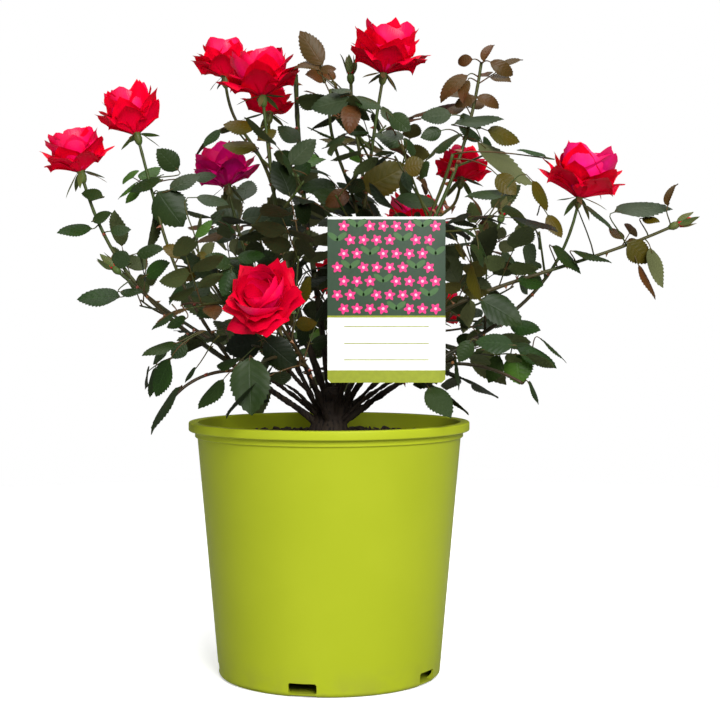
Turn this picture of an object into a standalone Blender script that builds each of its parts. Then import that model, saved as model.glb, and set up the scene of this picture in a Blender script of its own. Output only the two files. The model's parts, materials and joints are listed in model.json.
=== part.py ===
# Rose bush in its nursery pot, with a hang tag. Metres, +Z up.
# The origin is the centre of the pot's flat underside, and -Y is the front.

import math
import random
from collections import namedtuple

import bmesh
import bpy
from mathutils import Matrix, Vector
from mathutils.bvhtree import BVHTree
from mathutils.kdtree import KDTree

COLLECTION = "rose_bush"
GAP = 0.0003  # clearance between neighbouring pieces
WELD = 0.000001  # corners closer than this are one
UP = Vector((0, 0, 1))

# Pot
POT_HEIGHT = 0.2123
RIM_RADIUS = 0.1175
RIM_BAND = 0.0074
RIM_ROUND = 0.0012
COLLAR_RADIUS = 0.1122
COLLAR_DROP = 0.0125  # from the top of the rim to the collar's lower edge
NECK_RADIUS = 0.1112  # outer wall carried up to the top of the rim
BOTTOM_RADIUS = 0.0931  # outer wall at the rounded corner
CORNER_ROUND = 0.0044
WALL = 0.0018
BASE_THICK = 0.003
POT_STEPS = 30
HOLE_COUNT = 5
HOLE_FIRST = -12.2  # degrees from the front, towards +X
HOLE_WIDTH = 0.023
HOLE_TOP = 0.0115
STRIP_LIFT = 0.0016  # floor to the strip under a hole
RECESS_COUNT = 3
RECESS_FIRST = -43
RECESS_WIDTH = 0.030
RECESS_LIFT = 0.0026
CUT_DEPTH = 0.007

# Soil
SOIL_TOP = 0.198

# Trunk
TRUNK_HEIGHT = 0.042
TRUNK_FLARE = 0.0185
TRUNK_WAIST = 0.0135
TRUNK_TOP = 0.0105
TRUNK_LEAN = 0.06  # sideways per unit of height, towards +X
TRUNK_STEPS = 12
STUB_LOW = 0.028  # length of a low cane's fused foot
STUB_HIGH = 0.016
LOW_START = 0.007  # a low cane's start, out from the axis
HIGH_START = 0.0058

# Canes: each is one centre line, cut into a foot on the trunk, a bare bough and a leafy stem.
# The angles are in degrees, azimuth 0 is +X and 90 is the back, and height is above the floor.
# rise: start above the soil. launch and arrive: slope at the foot and the tip. bare: length with no leaves.
# A cut cane is bare all the way.
Cane = namedtuple("Cane", "name start rise launch azimuth reach height arrive thick bare twigs tip flower")
CANES = (
    Cane("left", 186, 0.010, 37, 191, 0.205, 0.420, 76, 0.0074, 0.080, 3, "bloom", 0.058),
    Cane("low_left", 212, 0.012, 60, 203, 0.142, 0.226, -58, 0.0050, 0.058, 1, "leaf", 0),
    Cane("front_left", 234, 0.015, 50, 220, 0.130, 0.345, 60, 0.0056, 0.066, 4, "shoot", 0),
    Cane("front", 258, 0.011, 45, 249, 0.118, 0.300, 28, 0.0062, 0.068, 3, "bloom", 0.070),
    Cane("front_right", 294, 0.013, 63, 323, 0.124, 0.428, 70, 0.0060, 0.158, 3, "shoot", 0),
    Cane("low_right", 320, 0.010, 42, 341, 0.166, 0.246, -30, 0.0056, 0.070, 3, "leaf", 0),
    Cane("far_right", 342, 0.016, 61, 358, 0.284, 0.374, 24, 0.0066, 0.078, 4, "bud", 0),
    Cane("right", 6, 0.009, 40, 5, 0.213, 0.403, 80, 0.0072, 0.078, 3, "bloom", 0.075),
    Cane("back_right", 34, 0.013, 42, 35, 0.186, 0.385, 70, 0.0068, 0.076, 4, "bud", 0),
    Cane("back", 62, 0.010, 52, 62, 0.162, 0.375, 76, 0.0070, 0.080, 4, "bloom", 0.068),
    Cane("back_low", 88, 0.014, 40, 88, 0.200, 0.330, 58, 0.0064, 0.076, 4, "bloom", 0.060),
    Cane("back_mid", 112, 0.010, 48, 114, 0.170, 0.380, 64, 0.0062, 0.076, 4, "shoot", 0),
    Cane("back_left", 132, 0.010, 55, 139, 0.122, 0.418, 74, 0.0064, 0.076, 3, "bloom", 0.062),
    Cane("side_left", 160, 0.014, 40, 165, 0.190, 0.338, 40, 0.0060, 0.074, 4, "bud", 0),
    Cane("top_left", 200, 0.036, 70, 200, 0.058, 0.484, 84, 0.0078, 0.076, 3, "bloom", 0.068),
    Cane("pruned", 112, 0.037, 74, 126, 0.050, 0.508, 88, 0.0070, 0, 0, "cut", 0),
    Cane("top", 28, 0.037, 78, 0, 0.046, 0.505, 80, 0.0074, 0.095, 3, "bloom", 0.069),
    Cane("thorny", 318, 0.035, 58, 351, 0.127, 0.508, 82, 0.0078, 0.090, 4, "shoot", 0),
)
# Side stems leave their cane's stem a share of the way along its leafy part.
Side = namedtuple("Side", "cane share azimuth reach height arrive tip flower")
SIDES = (
    Side("left", 0.04, 176.5, 0.163, 0.456, 74, "bloom", 0.051),
    Side("front", 0.05, 243, 0.118, 0.262, -25, "leaf", 0),
    Side("low_right", 0.10, 315, 0.108, 0.258, -38, "leaf", 0),
    Side("top_left", 0.55, 149, 0.107, 0.510, 82, "bloom", 0.053),
    Side("top_left", 0.66, 150, 0.060, 0.476, 78, "bloom", 0.042),
    Side("top", 0.35, 60, 0.036, 0.500, 86, "bud", 0),
    Side("top", 0.20, 280, 0.010, 0.488, 100, "shoot", 0),
    Side("thorny", 0.30, 26, 0.127, 0.422, 70, "bloom", 0.048),
    Side("back_right", 0.08, 48, 0.140, 0.300, 60, "bloom", 0.054),
)
SEED = 20
BOW = 0.42  # how far a cane's slopes carry, as a share of its chord
SIDE_TURN = 1.2  # pull of a side stem's tip on its first heading, against its cane's
LINE_POINTS = 28
TIP_THICK = 0.0030
CUT_THICK = 0.0050
SIDE_THICK = 0.0036
TWIG_THICK = 0.0026
TWIG_TIP_THICK = 0.0018
LIMB_SIDES = 5
TWIG_SIDES = 3
BOUGH_STEP = 0.022
STEM_STEP = 0.034
END_STEP = 0.002  # short end run, which keeps a cut square to its limb

# Foliage
LEAF_STEP = 0.022
LEAF_APART = 0.0495  # least distance between the middles of two leaves
LEAF_FIRST = 0.010  # stem's foot to its first leaf
TIP_BARE = {"bloom": 0.030, "bud": 0.022, "cut": 0.050, "shoot": 0.004, "leaf": 0.004, "twig": 0.006}
GOLDEN = 137.5
ROLL_TRIES = (0, 30, -30, 60, -60, 95, -95, 130, -130, 165)
SIZE_TRIES = ((1.0, 2), (0.86, 2), (0.78, 1), (0.62, 1))  # scale of a leaf, and its most pairs of leaflets
LEAFLET = 0.040
LEAFLET_WIDE = 0.62  # width as a share of length
LEAFLET_WIDEST = 0.46
LEAF_THICK = 0.0010
LEAF_ROOT = 0.0008  # depth of a stalk's root past its stem's centre line
LEAF_SIZE = (0.84, 1.10)
LEAF_SPREAD = (48, 64)  # degrees between a stalk and its stem
LEAF_DROOP = (0.10, 0.30)  # fall at the leaf's tip, as a share of its reach
LEAF_TILT = 40
LEAF_TO_SKY = 0.60  # shares of a leaf's facing: up, out of the crown and back to its stem
LEAF_OUTWARD = 0.45
LEAF_BACKWARD = 0.25
FEW_PAIRS = 0.25  # share of the leaves with one pair of leaflets
PETIOLE = 0.020
PAIR_STEP = 0.0225
PAIR_ANGLE = math.radians(66)
STALK_WIDE = 0.0018
YOUNG_RUN = 0.070  # length below a tip where the leaves are smaller
YOUNG_SHRINK = 0.55
YOUNG_RISE = 18
LEAF_CUP = 0.14  # how far a leaf's sides fall, as a share of their distance out
TWIG_LENGTH = (0.045, 0.085)
TWIG_SPREAD = (44, 62)
TWIG_LIFT = (0.05, 0.40)  # turn towards the sky over a twig's length
TWIG_RUN = 0.72  # share of the leafy stem that carries twigs
TWIG_BARE = 0.45  # share of a twig with no leaves
TWIG_FOOT = 0.010  # run of a twig that may lie close to its stem
TWIG_POINTS = 6
TWIG_SKIP = 3  # a twig's solid takes one point in three
SPACE_EDGE = 0.024  # how far past the middle between two masses' stems a mass may reach
LEAF_CLEAR = 0.0025  # between two leaves
OWN_CLEAR = 0.0045  # from a leaflet to its own mass's stems
LIMB_CLEAR = 0.0065
BLOOM_CLEAR = 0.009
SAMPLE_STEP = 0.004
SOIL_CLEAR = 0.020
CROWN_HEIGHT = 0.355  # middle of the crown, above the floor
CROWN_RADIUS = 0.225
CROWN_HALF = 0.185
CROWN_STRAY = 0.046  # a leaf reaches out of the crown's egg shape no further than this from its stem
RIM_CLEAR = 0.006

# Bloom, as shares of its radius: radius, swing of the radius from petal to notch, height
BLOOM_RINGS = ((0, 0, 0.66), (0.62, 0.07, 0.66), (0.93, 0.11, 0.06), (0.34, 0.02, -0.34), (0, 0, -0.44))
BLOOM_SEGMENTS = 10
BUD_LENGTH = 0.024
BUD_RADIUS = 0.0062
FLOWER_SINK = 0.004

# Hang tag
TAG_LEFT = 0.0002
TAG_WIDE = 0.0928
TAG_LOW = 0.2480
TAG_TALL = 0.1305
TAG_FRONT = -0.0805
TAG_THICK = 0.0008
TAG_CLEAR = 0.004
STRAP_WIDE = 0.0045
STRAP_THICK = 0.0010
STRAP_DROP = 0.007  # from the tag's top edge to the strap's middle
RING_AT = 0.140  # along the cane that the tag hangs on
RING_TALL = 0.0045
RING_WALL = 0.0012
RING_STEPS = 16
TAG_CANE = "front_right"


class Stem:
    """A limb's centre line, walked by distance from its foot."""

    def __init__(self, points, foot_thick, tip_thick, tip, flower=0):
        self.points = points
        self.foot_thick = foot_thick
        self.tip_thick = tip_thick
        self.tip = tip
        self.flower = flower
        self.marks = [0.0]
        for a, b in zip(points, points[1:]):
            self.marks.append(self.marks[-1] + (b - a).length)
        self.length = self.marks[-1]

    def at(self, distance):
        last = len(self.marks) - 2
        index = 0
        while index < last and self.marks[index + 1] < distance:
            index += 1
        run = self.marks[index + 1] - self.marks[index]
        return self.points[index].lerp(self.points[index + 1], (distance - self.marks[index]) / run)

    def tangent(self, distance):
        near = max(0.0, distance - SAMPLE_STEP)
        far = min(self.length, distance + SAMPLE_STEP)
        return (self.at(far) - self.at(near)).normalized()

    def radius(self, distance):
        return 0.5 * (self.foot_thick + (self.tip_thick - self.foot_thick) * distance / self.length)

    def samples(self, begin=0.0):
        count = max(2, round((self.length - begin) / SAMPLE_STEP))
        return [self.at(begin + (self.length - begin) * i / count) for i in range(count + 1)]


def heading(azimuth, slope):
    """Unit vector at an azimuth and a slope, both in degrees."""
    turn = math.radians(azimuth)
    rise = math.radians(slope)
    return Vector((math.cos(turn) * math.cos(rise), math.sin(turn) * math.cos(rise), math.sin(rise)))


def bezier(a, b, c, d, count):
    points = []
    for i in range(count + 1):
        t = i / count
        s = 1 - t
        points.append(a * s**3 + b * (3 * s * s * t) + c * (3 * s * t * t) + d * t**3)
    return points


def spot(azimuth, reach, height):
    point = heading(azimuth, 0) * reach
    point.z = height
    return point


def is_high(cane):
    return cane.rise > TRUNK_HEIGHT / 2


def cane_stem(cane):
    out = HIGH_START if is_high(cane) else LOW_START
    foot = spot(cane.start, out, SOIL_TOP + cane.rise)
    foot.x += TRUNK_LEAN * cane.rise
    tip = spot(cane.azimuth, cane.reach, cane.height)
    carry = BOW * (tip - foot).length
    low = foot + heading(cane.start, cane.launch) * carry
    high = tip - heading(cane.azimuth, cane.arrive) * carry
    tip_thick = CUT_THICK if cane.tip == "cut" else TIP_THICK
    return Stem(bezier(foot, low, high, tip, LINE_POINTS), cane.thick, tip_thick, cane.tip, cane.flower)


def side_stem(side, parent, begin):
    distance = begin + side.share * (parent.length - begin)
    foot = parent.at(distance)
    tip = spot(side.azimuth, side.reach, side.height)
    chord = tip - foot
    carry = BOW * chord.length
    low = foot + (parent.tangent(distance) + chord.normalized() * SIDE_TURN).normalized() * carry
    flat = math.degrees(math.atan2(chord.y, chord.x))
    high = tip - heading(flat, side.arrive) * carry
    thick = min(SIDE_THICK, 2 * parent.radius(distance))
    return Stem(bezier(foot, low, high, tip, LINE_POINTS), thick, TIP_THICK, side.tip, side.flower)


def tree(points):
    found = KDTree(len(points))
    for i, point in enumerate(points):
        found.insert(point, i)
    found.balance()
    return found


Leaf = namedtuple("Leaf", "root along across face size pairs droop")


def compound_leaf(root, tangent, roll, pairs, size, spread, droop, tilt):
    """A stalked leaf with pairs of leaflets and one at its tip, its face turned to the sky."""
    side = round_axis(tangent, roll)
    along = (tangent * math.cos(math.radians(spread)) + side * math.sin(math.radians(spread))).normalized()
    outward = Vector((root.x, root.y, 0)).normalized()
    face = UP * LEAF_TO_SKY + outward * LEAF_OUTWARD - side * LEAF_BACKWARD
    face = (face - along * face.dot(along)).normalized()
    face.rotate(Matrix.Rotation(math.radians(tilt), 3, along))
    return Leaf(root, along, face.cross(along), face, size, pairs, droop)


def leaf_reach(leaf):
    return leaf.size * (PETIOLE + leaf.pairs * PAIR_STEP + LEAFLET)


def bent(leaf, x, y):
    """A point of a leaf's outline in place, after its droop along the stalk and to the sides."""
    fall = leaf.droop * x * abs(x) / leaf_reach(leaf) + LEAF_CUP * abs(y)
    return leaf.root + leaf.along * x + leaf.across * y - leaf.face * fall


def leaf_shell(leaf, half):
    """Corners and faces of the leaf's outline, made thick to both sides."""
    outline = leaf_outline(leaf)
    count = len(outline)
    corners = [bent(leaf, x, y) + leaf.face * half for x, y in outline]
    corners += [bent(leaf, x, y) - leaf.face * half for x, y in outline]
    faces = [list(range(count)), list(range(count, 2 * count))]
    faces += [[i, (i + 1) % count, count + (i + 1) % count, count + i] for i in range(count)]
    return corners, faces


def leaf_tree(leaves, half):
    corners = []
    faces = []
    for leaf in leaves:
        more_corners, more_faces = leaf_shell(leaf, half)
        faces += [[len(corners) + i for i in face] for face in more_faces]
        corners += more_corners
    return BVHTree.FromPolygons(corners, faces)


def leaf_middle(leaf):
    return bent(leaf, leaf.size * (PETIOLE + 0.5 * (leaf.pairs + 1) * PAIR_STEP), 0)


def leaf_outline(leaf):
    """Outline of the whole leaf, cut in to its stalk between the leaflets."""
    half = STALK_WIDE / 2
    cos = math.cos(PAIR_ANGLE)
    sin = math.sin(PAIR_ANGLE)
    side = [(-LEAF_ROOT, half)]
    for i in range(leaf.pairs):
        foot = leaf.size * (PETIOLE + i * PAIR_STEP)
        length = leaf.size * LEAFLET * (0.80 + 0.08 * i)
        belly = LEAFLET_WIDEST * length
        wide = 0.5 * LEAFLET_WIDE * length
        side.append((foot - half, half))
        side.append((foot + belly * cos - wide * sin, belly * sin + wide * cos))
        side.append((foot + length * cos, length * sin))
        side.append((foot + belly * cos + wide * sin, belly * sin - wide * cos))
        side.append((foot + half, half))
    length = leaf.size * LEAFLET
    foot = leaf.size * (PETIOLE + leaf.pairs * PAIR_STEP)
    side.append((foot + LEAFLET_WIDEST * length, 0.5 * LEAFLET_WIDE * length))
    return side + [(foot + length, 0)] + [(x, -y) for x, y in reversed(side)]


class Mass:
    """One mass of foliage: its stems, twigs and leaves, kept to the space round its own stems."""

    def __init__(self, cane, stems):
        self.cane = cane
        self.stems = stems
        self.twigs = []
        self.leaves = []

    def blooms(self):
        return [stem for stem in self.stems if stem.tip == "bloom"]

    def space_points(self):
        """Points along the stems and over the blooms, which mark the mass's own space."""
        points = []
        for stem in self.stems:
            begin = self.cane.bare if stem is self.stems[0] else 0.0
            points += stem.samples(begin)
            if stem.tip == "bloom":
                centre, axis = bloom_place(stem)
                for turn in range(0, 360, 45):
                    points.append(centre + round_axis(axis, turn) * (stem.flower * 0.42))
                points.append(centre + axis * (stem.flower * 0.3))
        return points


def round_axis(axis, turn):
    side = axis.orthogonal().normalized()
    side.rotate(Matrix.Rotation(math.radians(turn), 3, axis))
    return side


def bloom_place(stem):
    """A bloom's middle and its axis."""
    axis = stem.tangent(stem.length)
    return stem.points[-1] + axis * (0.22 * stem.flower - FLOWER_SINK), axis


def in_tag_space(point):
    """In front of the tag, or across it or its strap."""
    beside = TAG_LEFT - TAG_CLEAR < point.x < TAG_LEFT + TAG_WIDE + TAG_CLEAR
    level = TAG_LOW - TAG_CLEAR < point.z < TAG_LOW + TAG_TALL + TAG_CLEAR
    return beside and level and point.y < TAG_FRONT + TAG_THICK + TAG_CLEAR


def too_low(point):
    out = math.hypot(point.x, point.y)
    if out < RIM_RADIUS - RIM_CLEAR:
        return point.z < SOIL_TOP + SOIL_CLEAR
    if out < RIM_RADIUS + RIM_CLEAR:
        return point.z < POT_HEIGHT + RIM_CLEAR
    return False


def outside_crown(point):
    level = (point.z - CROWN_HEIGHT) / CROWN_HALF
    return math.hypot(point.x, point.y) / CROWN_RADIUS > math.sqrt(max(0.0, 1 - level * level))


class Fit:
    """Tells whether points stay in a mass's own space, clear of every limb and of the masses before it."""

    def __init__(self, mass, masses, limbs):
        others = [other for other in masses if other is not mass]
        self.placed = [leaf for other in others for leaf in other.leaves]
        self.own = tree(mass.space_points())
        self.others = tree([point for other in others for point in other.space_points()])
        self.reach = tree([point for stem in mass.stems for point in stem.samples()])
        twigs = [point for other in others for twig in other.twigs for point in twig.points]
        self.limbs = tree(limbs + twigs)
        self.grown = leaf_tree(self.placed, LEAF_THICK / 2) if self.placed else None
        self.blooms = [(bloom_place(stem)[0], 0.5 * stem.flower + BLOOM_CLEAR) for stem in mass.blooms()]

    def holds(self, points):
        for point in points:
            if too_low(point) or in_tag_space(point):
                return False
            if self.limbs.find(point)[2] < LIMB_CLEAR:
                return False
            if outside_crown(point) and self.reach.find(point)[2] > CROWN_STRAY:
                return False
            away = self.others.find(point)[2]
            if away < LIMB_CLEAR or self.own.find(point)[2] - away > SPACE_EDGE:
                return False
            for centre, radius in self.blooms:
                if (point - centre).length < radius:
                    return False
            if self.grown and self.grown.find_nearest(point, LEAF_CLEAR)[0]:
                return False
        return True

    def holds_leaf(self, leaf):
        middle = leaf_middle(leaf)
        if any((middle - leaf_middle(other)).length < LEAF_APART for other in self.placed):
            return False
        outline = leaf_outline(leaf)[1:-1]
        points = [bent(leaf, x, y) for x, y in outline]
        points += [bent(leaf, (a[0] + b[0]) / 2, (a[1] + b[1]) / 2) for a, b in zip(outline, outline[1:])]
        if any(self.reach.find(point)[2] < OWN_CLEAR for point in points):
            return False
        if not self.holds(points):
            return False
        return not (self.grown and self.grown.overlap(leaf_tree([leaf], LEAF_CLEAR)))

    def add(self, leaf):
        self.placed.append(leaf)
        self.grown = leaf_tree(self.placed, LEAF_THICK / 2)


def grow_leaf(mass, fit, stem, distance, roll, rng, young):
    """Adds a compound leaf at the first turn that fits, or a smaller one, or none."""
    size = rng.uniform(*LEAF_SIZE) * (1.0 - YOUNG_SHRINK * young)
    spread = rng.uniform(*LEAF_SPREAD) - YOUNG_RISE * young
    droop = rng.uniform(*LEAF_DROOP) * (1 - young)
    tilt = rng.uniform(-LEAF_TILT, LEAF_TILT)
    pairs = 1 if rng.random() < FEW_PAIRS * (1 + young) else 2
    root = stem.at(distance)
    tangent = stem.tangent(distance)
    for scale, most in SIZE_TRIES:
        for turn in ROLL_TRIES:
            leaf = compound_leaf(root, tangent, roll + turn, min(pairs, most), size * scale, spread, droop, tilt)
            if fit.holds_leaf(leaf):
                mass.leaves.append(leaf)
                fit.add(leaf)
                return


def grow_along(mass, fit, stem, begin, rng):
    """Leaves in a spiral up a stem, younger towards its tip."""
    roll = rng.uniform(0, 360)
    end = stem.length - TIP_BARE[stem.tip]
    count = max(1, round((end - begin) / LEAF_STEP))
    for i in range(count + 1):
        distance = begin + (end - begin) * i / count
        young = max(0.0, 1 - (stem.length - distance) / YOUNG_RUN) if stem.tip != "twig" else 0.0
        grow_leaf(mass, fit, stem, distance, roll + i * GOLDEN, rng, young)


def grow_twig(fit, stem, distance, roll, rng):
    """A short side twig at the first turn that fits, or none."""
    length = rng.uniform(*TWIG_LENGTH)
    spread = rng.uniform(*TWIG_SPREAD)
    lift = rng.uniform(*TWIG_LIFT)
    root = stem.at(distance)
    tangent = stem.tangent(distance)
    for turn in ROLL_TRIES:
        side = round_axis(tangent, roll + turn)
        along = (tangent * math.cos(math.radians(spread)) + side * math.sin(math.radians(spread))).normalized()
        points = [root.copy()]
        for _ in range(TWIG_POINTS):
            points.append(points[-1] + along * (length / TWIG_POINTS))
            along = (along + UP * (lift / TWIG_POINTS)).normalized()
        twig = Stem(points, TWIG_THICK, TWIG_TIP_THICK, "twig")
        if fit.holds(twig.samples(TWIG_FOOT)):
            return twig
    return None


def grow(mass, masses, limbs, index):
    """The seeded rule that fills one mass."""
    rng = random.Random(SEED + index)
    fit = Fit(mass, masses, limbs)
    main = mass.stems[0]
    begin = mass.cane.bare + LEAF_FIRST
    roll = rng.uniform(0, 360)
    reach = TWIG_RUN * (main.length - begin)
    for i in range(mass.cane.twigs):
        distance = begin + reach * (i + rng.uniform(0.2, 0.8)) / mass.cane.twigs
        twig = grow_twig(fit, main, distance, roll + i * GOLDEN, rng)
        if twig:
            before = len(mass.leaves)
            grow_along(mass, fit, twig, TWIG_BARE * twig.length, rng)
            if len(mass.leaves) > before:
                mass.twigs.append(twig)
    for stem in mass.stems:
        grow_along(mass, fit, stem, begin if stem is main else LEAF_FIRST, rng)


def bare_length(cane, line):
    return line.length if cane.tip == "cut" else cane.bare


def plan_plant():
    """Every cane's centre line by name, and the masses grown on them."""
    lines = {cane.name: cane_stem(cane) for cane in CANES}
    masses = []
    limb_points = []
    for cane in CANES:
        line = lines[cane.name]
        bare = bare_length(cane, line)
        count = round(bare / SAMPLE_STEP)
        limb_points += [line.at(bare * i / count) for i in range(count + 1)]
        if cane.tip != "cut":
            sides = [side_stem(side, line, bare) for side in SIDES if side.cane == cane.name]
            masses.append(Mass(cane, [line] + sides))
    for index, mass in enumerate(masses):
        grow(mass, masses, limb_points, index)
    return lines, masses


# Making solids


def clear_scene():
    for item in list(bpy.data.objects):
        bpy.data.objects.remove(item, do_unlink=True)


def new_collection(name):
    found = bpy.data.collections.new(name)
    bpy.context.scene.collection.children.link(found)
    return found


def material(name, colour, roughness):
    made = bpy.data.materials.new(name)
    made.use_nodes = True
    shader = made.node_tree.nodes["Principled BSDF"]
    shader.inputs["Base Color"].default_value = (*colour, 1)
    shader.inputs["Roughness"].default_value = roughness
    shader.inputs["Metallic"].default_value = 0
    return made


def object_from(bm, name, group):
    mesh = bpy.data.meshes.new(name)
    bm.to_mesh(mesh)
    bm.free()
    made = bpy.data.objects.new(name, mesh)
    group.objects.link(made)
    return made


def frozen(item, group):
    """A plain closed mesh object in place of a curve or of an object with modifiers."""
    graph = bpy.context.evaluated_depsgraph_get()
    mesh = bpy.data.meshes.new_from_object(item.evaluated_get(graph))
    bm = bmesh.new()
    bm.from_mesh(mesh)
    bmesh.ops.remove_doubles(bm, verts=bm.verts, dist=WELD)
    bmesh.ops.recalc_face_normals(bm, faces=bm.faces)
    bm.to_mesh(mesh)
    bm.free()
    name = item.name
    place = item.matrix_world.copy()
    bpy.data.objects.remove(item, do_unlink=True)
    made = bpy.data.objects.new(name, mesh)
    made.matrix_world = place
    group.objects.link(made)
    return made


def section(sides, guides):
    """A guide curve: a polygon of unit radius that limbs are swept with."""
    curve = bpy.data.curves.new(f"section_{sides}", "CURVE")
    curve.dimensions = "2D"
    spline = curve.splines.new("POLY")
    spline.points.add(sides - 1)
    for i, knot in enumerate(spline.points):
        turn = 2 * math.pi * i / sides
        knot.co = (math.cos(turn), math.sin(turn), 0, 1)
    spline.use_cyclic_u = True
    guide = bpy.data.objects.new(curve.name, curve)
    guide.hide_render = True
    guide.display_type = "WIRE"
    guides.objects.link(guide)
    return guide


def limb(name, points, radii, guide, group):
    """A tapering limb swept along points, as a curve with filled ends."""
    curve = bpy.data.curves.new(name, "CURVE")
    curve.dimensions = "3D"
    curve.bevel_mode = "OBJECT"
    curve.bevel_object = guide
    curve.use_fill_caps = True
    spline = curve.splines.new("POLY")
    spline.points.add(len(points) - 1)
    for knot, point, radius in zip(spline.points, points, radii):
        knot.co = (*point, 1)
        knot.radius = radius
    made = bpy.data.objects.new(name, curve)
    group.objects.link(made)
    return made


def limb_between(name, stem, begin, end, step, guide, group, square_ends):
    """The stretch of a stem between two distances, cut square at the named ends."""
    count = max(1, round((end - begin) / step))
    stops = [begin + (end - begin) * i / count for i in range(count + 1)]
    if "foot" in square_ends:
        stops.insert(1, begin + END_STEP)
    if "tip" in square_ends:
        stops.insert(-1, end - END_STEP)
    points = [stem.at(stop) for stop in stops]
    radii = [stem.radius(stop) for stop in stops]
    return limb(name, points, radii, guide, group)


def leaf_plate(leaf, name, group):
    """A flat outline of the leaf as a 2D curve, filled and as thick as the leaf."""
    curve = bpy.data.curves.new(name, "CURVE")
    curve.dimensions = "2D"
    curve.fill_mode = "BOTH"
    curve.extrude = LEAF_THICK / 2
    outline = leaf_outline(leaf)
    spline = curve.splines.new("POLY")
    spline.points.add(len(outline) - 1)
    for knot, (x, y) in zip(spline.points, outline):
        knot.co = (x, y, 0, 1)
    spline.use_cyclic_u = True
    made = bpy.data.objects.new(name, curve)
    group.objects.link(made)
    return made


def bend_plate(plate, leaf):
    """Moves a flat leaf to its place, with its droop."""
    for vertex in plate.data.vertices:
        x, y, z = vertex.co
        vertex.co = bent(leaf, x, y) + leaf.face * z


def bloom(stem, name, group):
    """A double rose as one lobed rosette."""
    centre, axis = bloom_place(stem)
    radius = 0.5 * stem.flower
    rings = len(BLOOM_RINGS) - 1
    bm = bmesh.new()
    bmesh.ops.create_uvsphere(bm, u_segments=BLOOM_SEGMENTS, v_segments=rings, radius=1)
    for vertex in bm.verts:
        ring = round(math.acos(max(-1, min(1, vertex.co.z))) * rings / math.pi)
        wide, swing, height = BLOOM_RINGS[ring]
        turn = math.atan2(vertex.co.y, vertex.co.x)
        lobe = math.cos(turn * BLOOM_SEGMENTS / 2)
        out = radius * (wide + swing * lobe)
        vertex.co = (out * math.cos(turn), out * math.sin(turn), radius * (height - 0.5 * swing * lobe))
    bm.transform(Matrix.Translation(centre) @ axis.to_track_quat("Z", "Y").to_matrix().to_4x4())
    return object_from(bm, name, group)


def bud(stem, name, group):
    """A closed bud on its hip."""
    axis = stem.tangent(stem.length)
    bm = bmesh.new()
    bmesh.ops.create_uvsphere(bm, u_segments=5, v_segments=4, radius=1)
    for vertex in bm.verts:
        pinch = 1.0 - 0.35 * max(0, vertex.co.z)
        vertex.co = (vertex.co.x * BUD_RADIUS * pinch, vertex.co.y * BUD_RADIUS * pinch, vertex.co.z * BUD_LENGTH / 2)
    place = stem.points[-1] + axis * (BUD_LENGTH / 2 - FLOWER_SINK)
    bm.transform(Matrix.Translation(place) @ axis.to_track_quat("Z", "Y").to_matrix().to_4x4())
    return object_from(bm, name, group)


def drop_scraps(mesh):
    """Keeps the largest closed body, without loose scraps or sealed hollows."""
    bm = bmesh.new()
    bm.from_mesh(mesh)
    waiting = set(bm.faces)
    bodies = []
    while waiting:
        body = set()
        edge_of_body = [waiting.pop()]
        while edge_of_body:
            face = edge_of_body.pop()
            body.add(face)
            for edge in face.edges:
                for near in edge.link_faces:
                    if near in waiting:
                        waiting.remove(near)
                        edge_of_body.append(near)
        bodies.append(body)
    bodies.sort(key=len, reverse=True)
    for body in bodies[1:]:
        bmesh.ops.delete(bm, geom=list(body), context="FACES")
    bm.to_mesh(mesh)
    bm.free()


def is_sound(mesh):
    """Whether a mesh stays one closed skin when corners that all but touch are joined."""
    bm = bmesh.new()
    bm.from_mesh(mesh)
    bmesh.ops.remove_doubles(bm, verts=bm.verts, dist=WELD)
    sound = all(edge.is_manifold for edge in bm.edges) and all(vertex.is_manifold for vertex in bm.verts)
    bm.free()
    return sound


def fused(name, base, group, target):
    """One solid from a base and everything in a collection, which is then removed."""
    union = base.modifiers.new("union", "BOOLEAN")
    union.operation = "UNION"
    union.operand_type = "COLLECTION"
    union.collection = group
    for solver in ("EXACT", "MANIFOLD"):
        union.solver = solver
        graph = bpy.context.evaluated_depsgraph_get()
        mesh = bpy.data.meshes.new_from_object(base.evaluated_get(graph))
        mesh.transform(base.matrix_world)
        drop_scraps(mesh)
        if is_sound(mesh):
            break
    mesh.name = name
    bpy.data.objects.remove(base, do_unlink=True)
    for item in list(group.objects):
        bpy.data.objects.remove(item, do_unlink=True)
    bpy.data.collections.remove(group)
    made = bpy.data.objects.new(name, mesh)
    target.objects.link(made)
    return made


def finish(item, skin, parent):
    item.data.materials.clear()
    item.data.materials.append(skin)
    item.data.shade_smooth()
    item.data.set_sharp_from_angle(angle=math.radians(40))
    item.parent = parent


# Pot and soil


def wall_radius(height):
    share = (height - CORNER_ROUND) / (POT_HEIGHT - CORNER_ROUND)
    return BOTTOM_RADIUS + share * (NECK_RADIUS - BOTTOM_RADIUS)


def turned(name, profile, steps, group):
    """A closed turned solid from a profile that runs down its outer side at +X."""
    bm = bmesh.new()
    verts = [bm.verts.new((radius, 0, height)) for radius, height in profile]
    for a, b in zip(verts, verts[1:]):
        bm.edges.new((a, b))
    made = object_from(bm, name, group)
    screw = made.modifiers.new("turn", "SCREW")
    screw.steps = steps
    screw.render_steps = steps
    screw.use_merge_vertices = True
    screw.merge_threshold = 0.00001
    return made


def arc(centre, radius, first, last, count):
    """Points on a quarter or so of a profile's rounding, as (radius, height)."""
    points = []
    for i in range(count + 1):
        turn = math.radians(first + (last - first) * i / count)
        points.append((centre[0] + radius * math.cos(turn), centre[1] + radius * math.sin(turn)))
    return points


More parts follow.
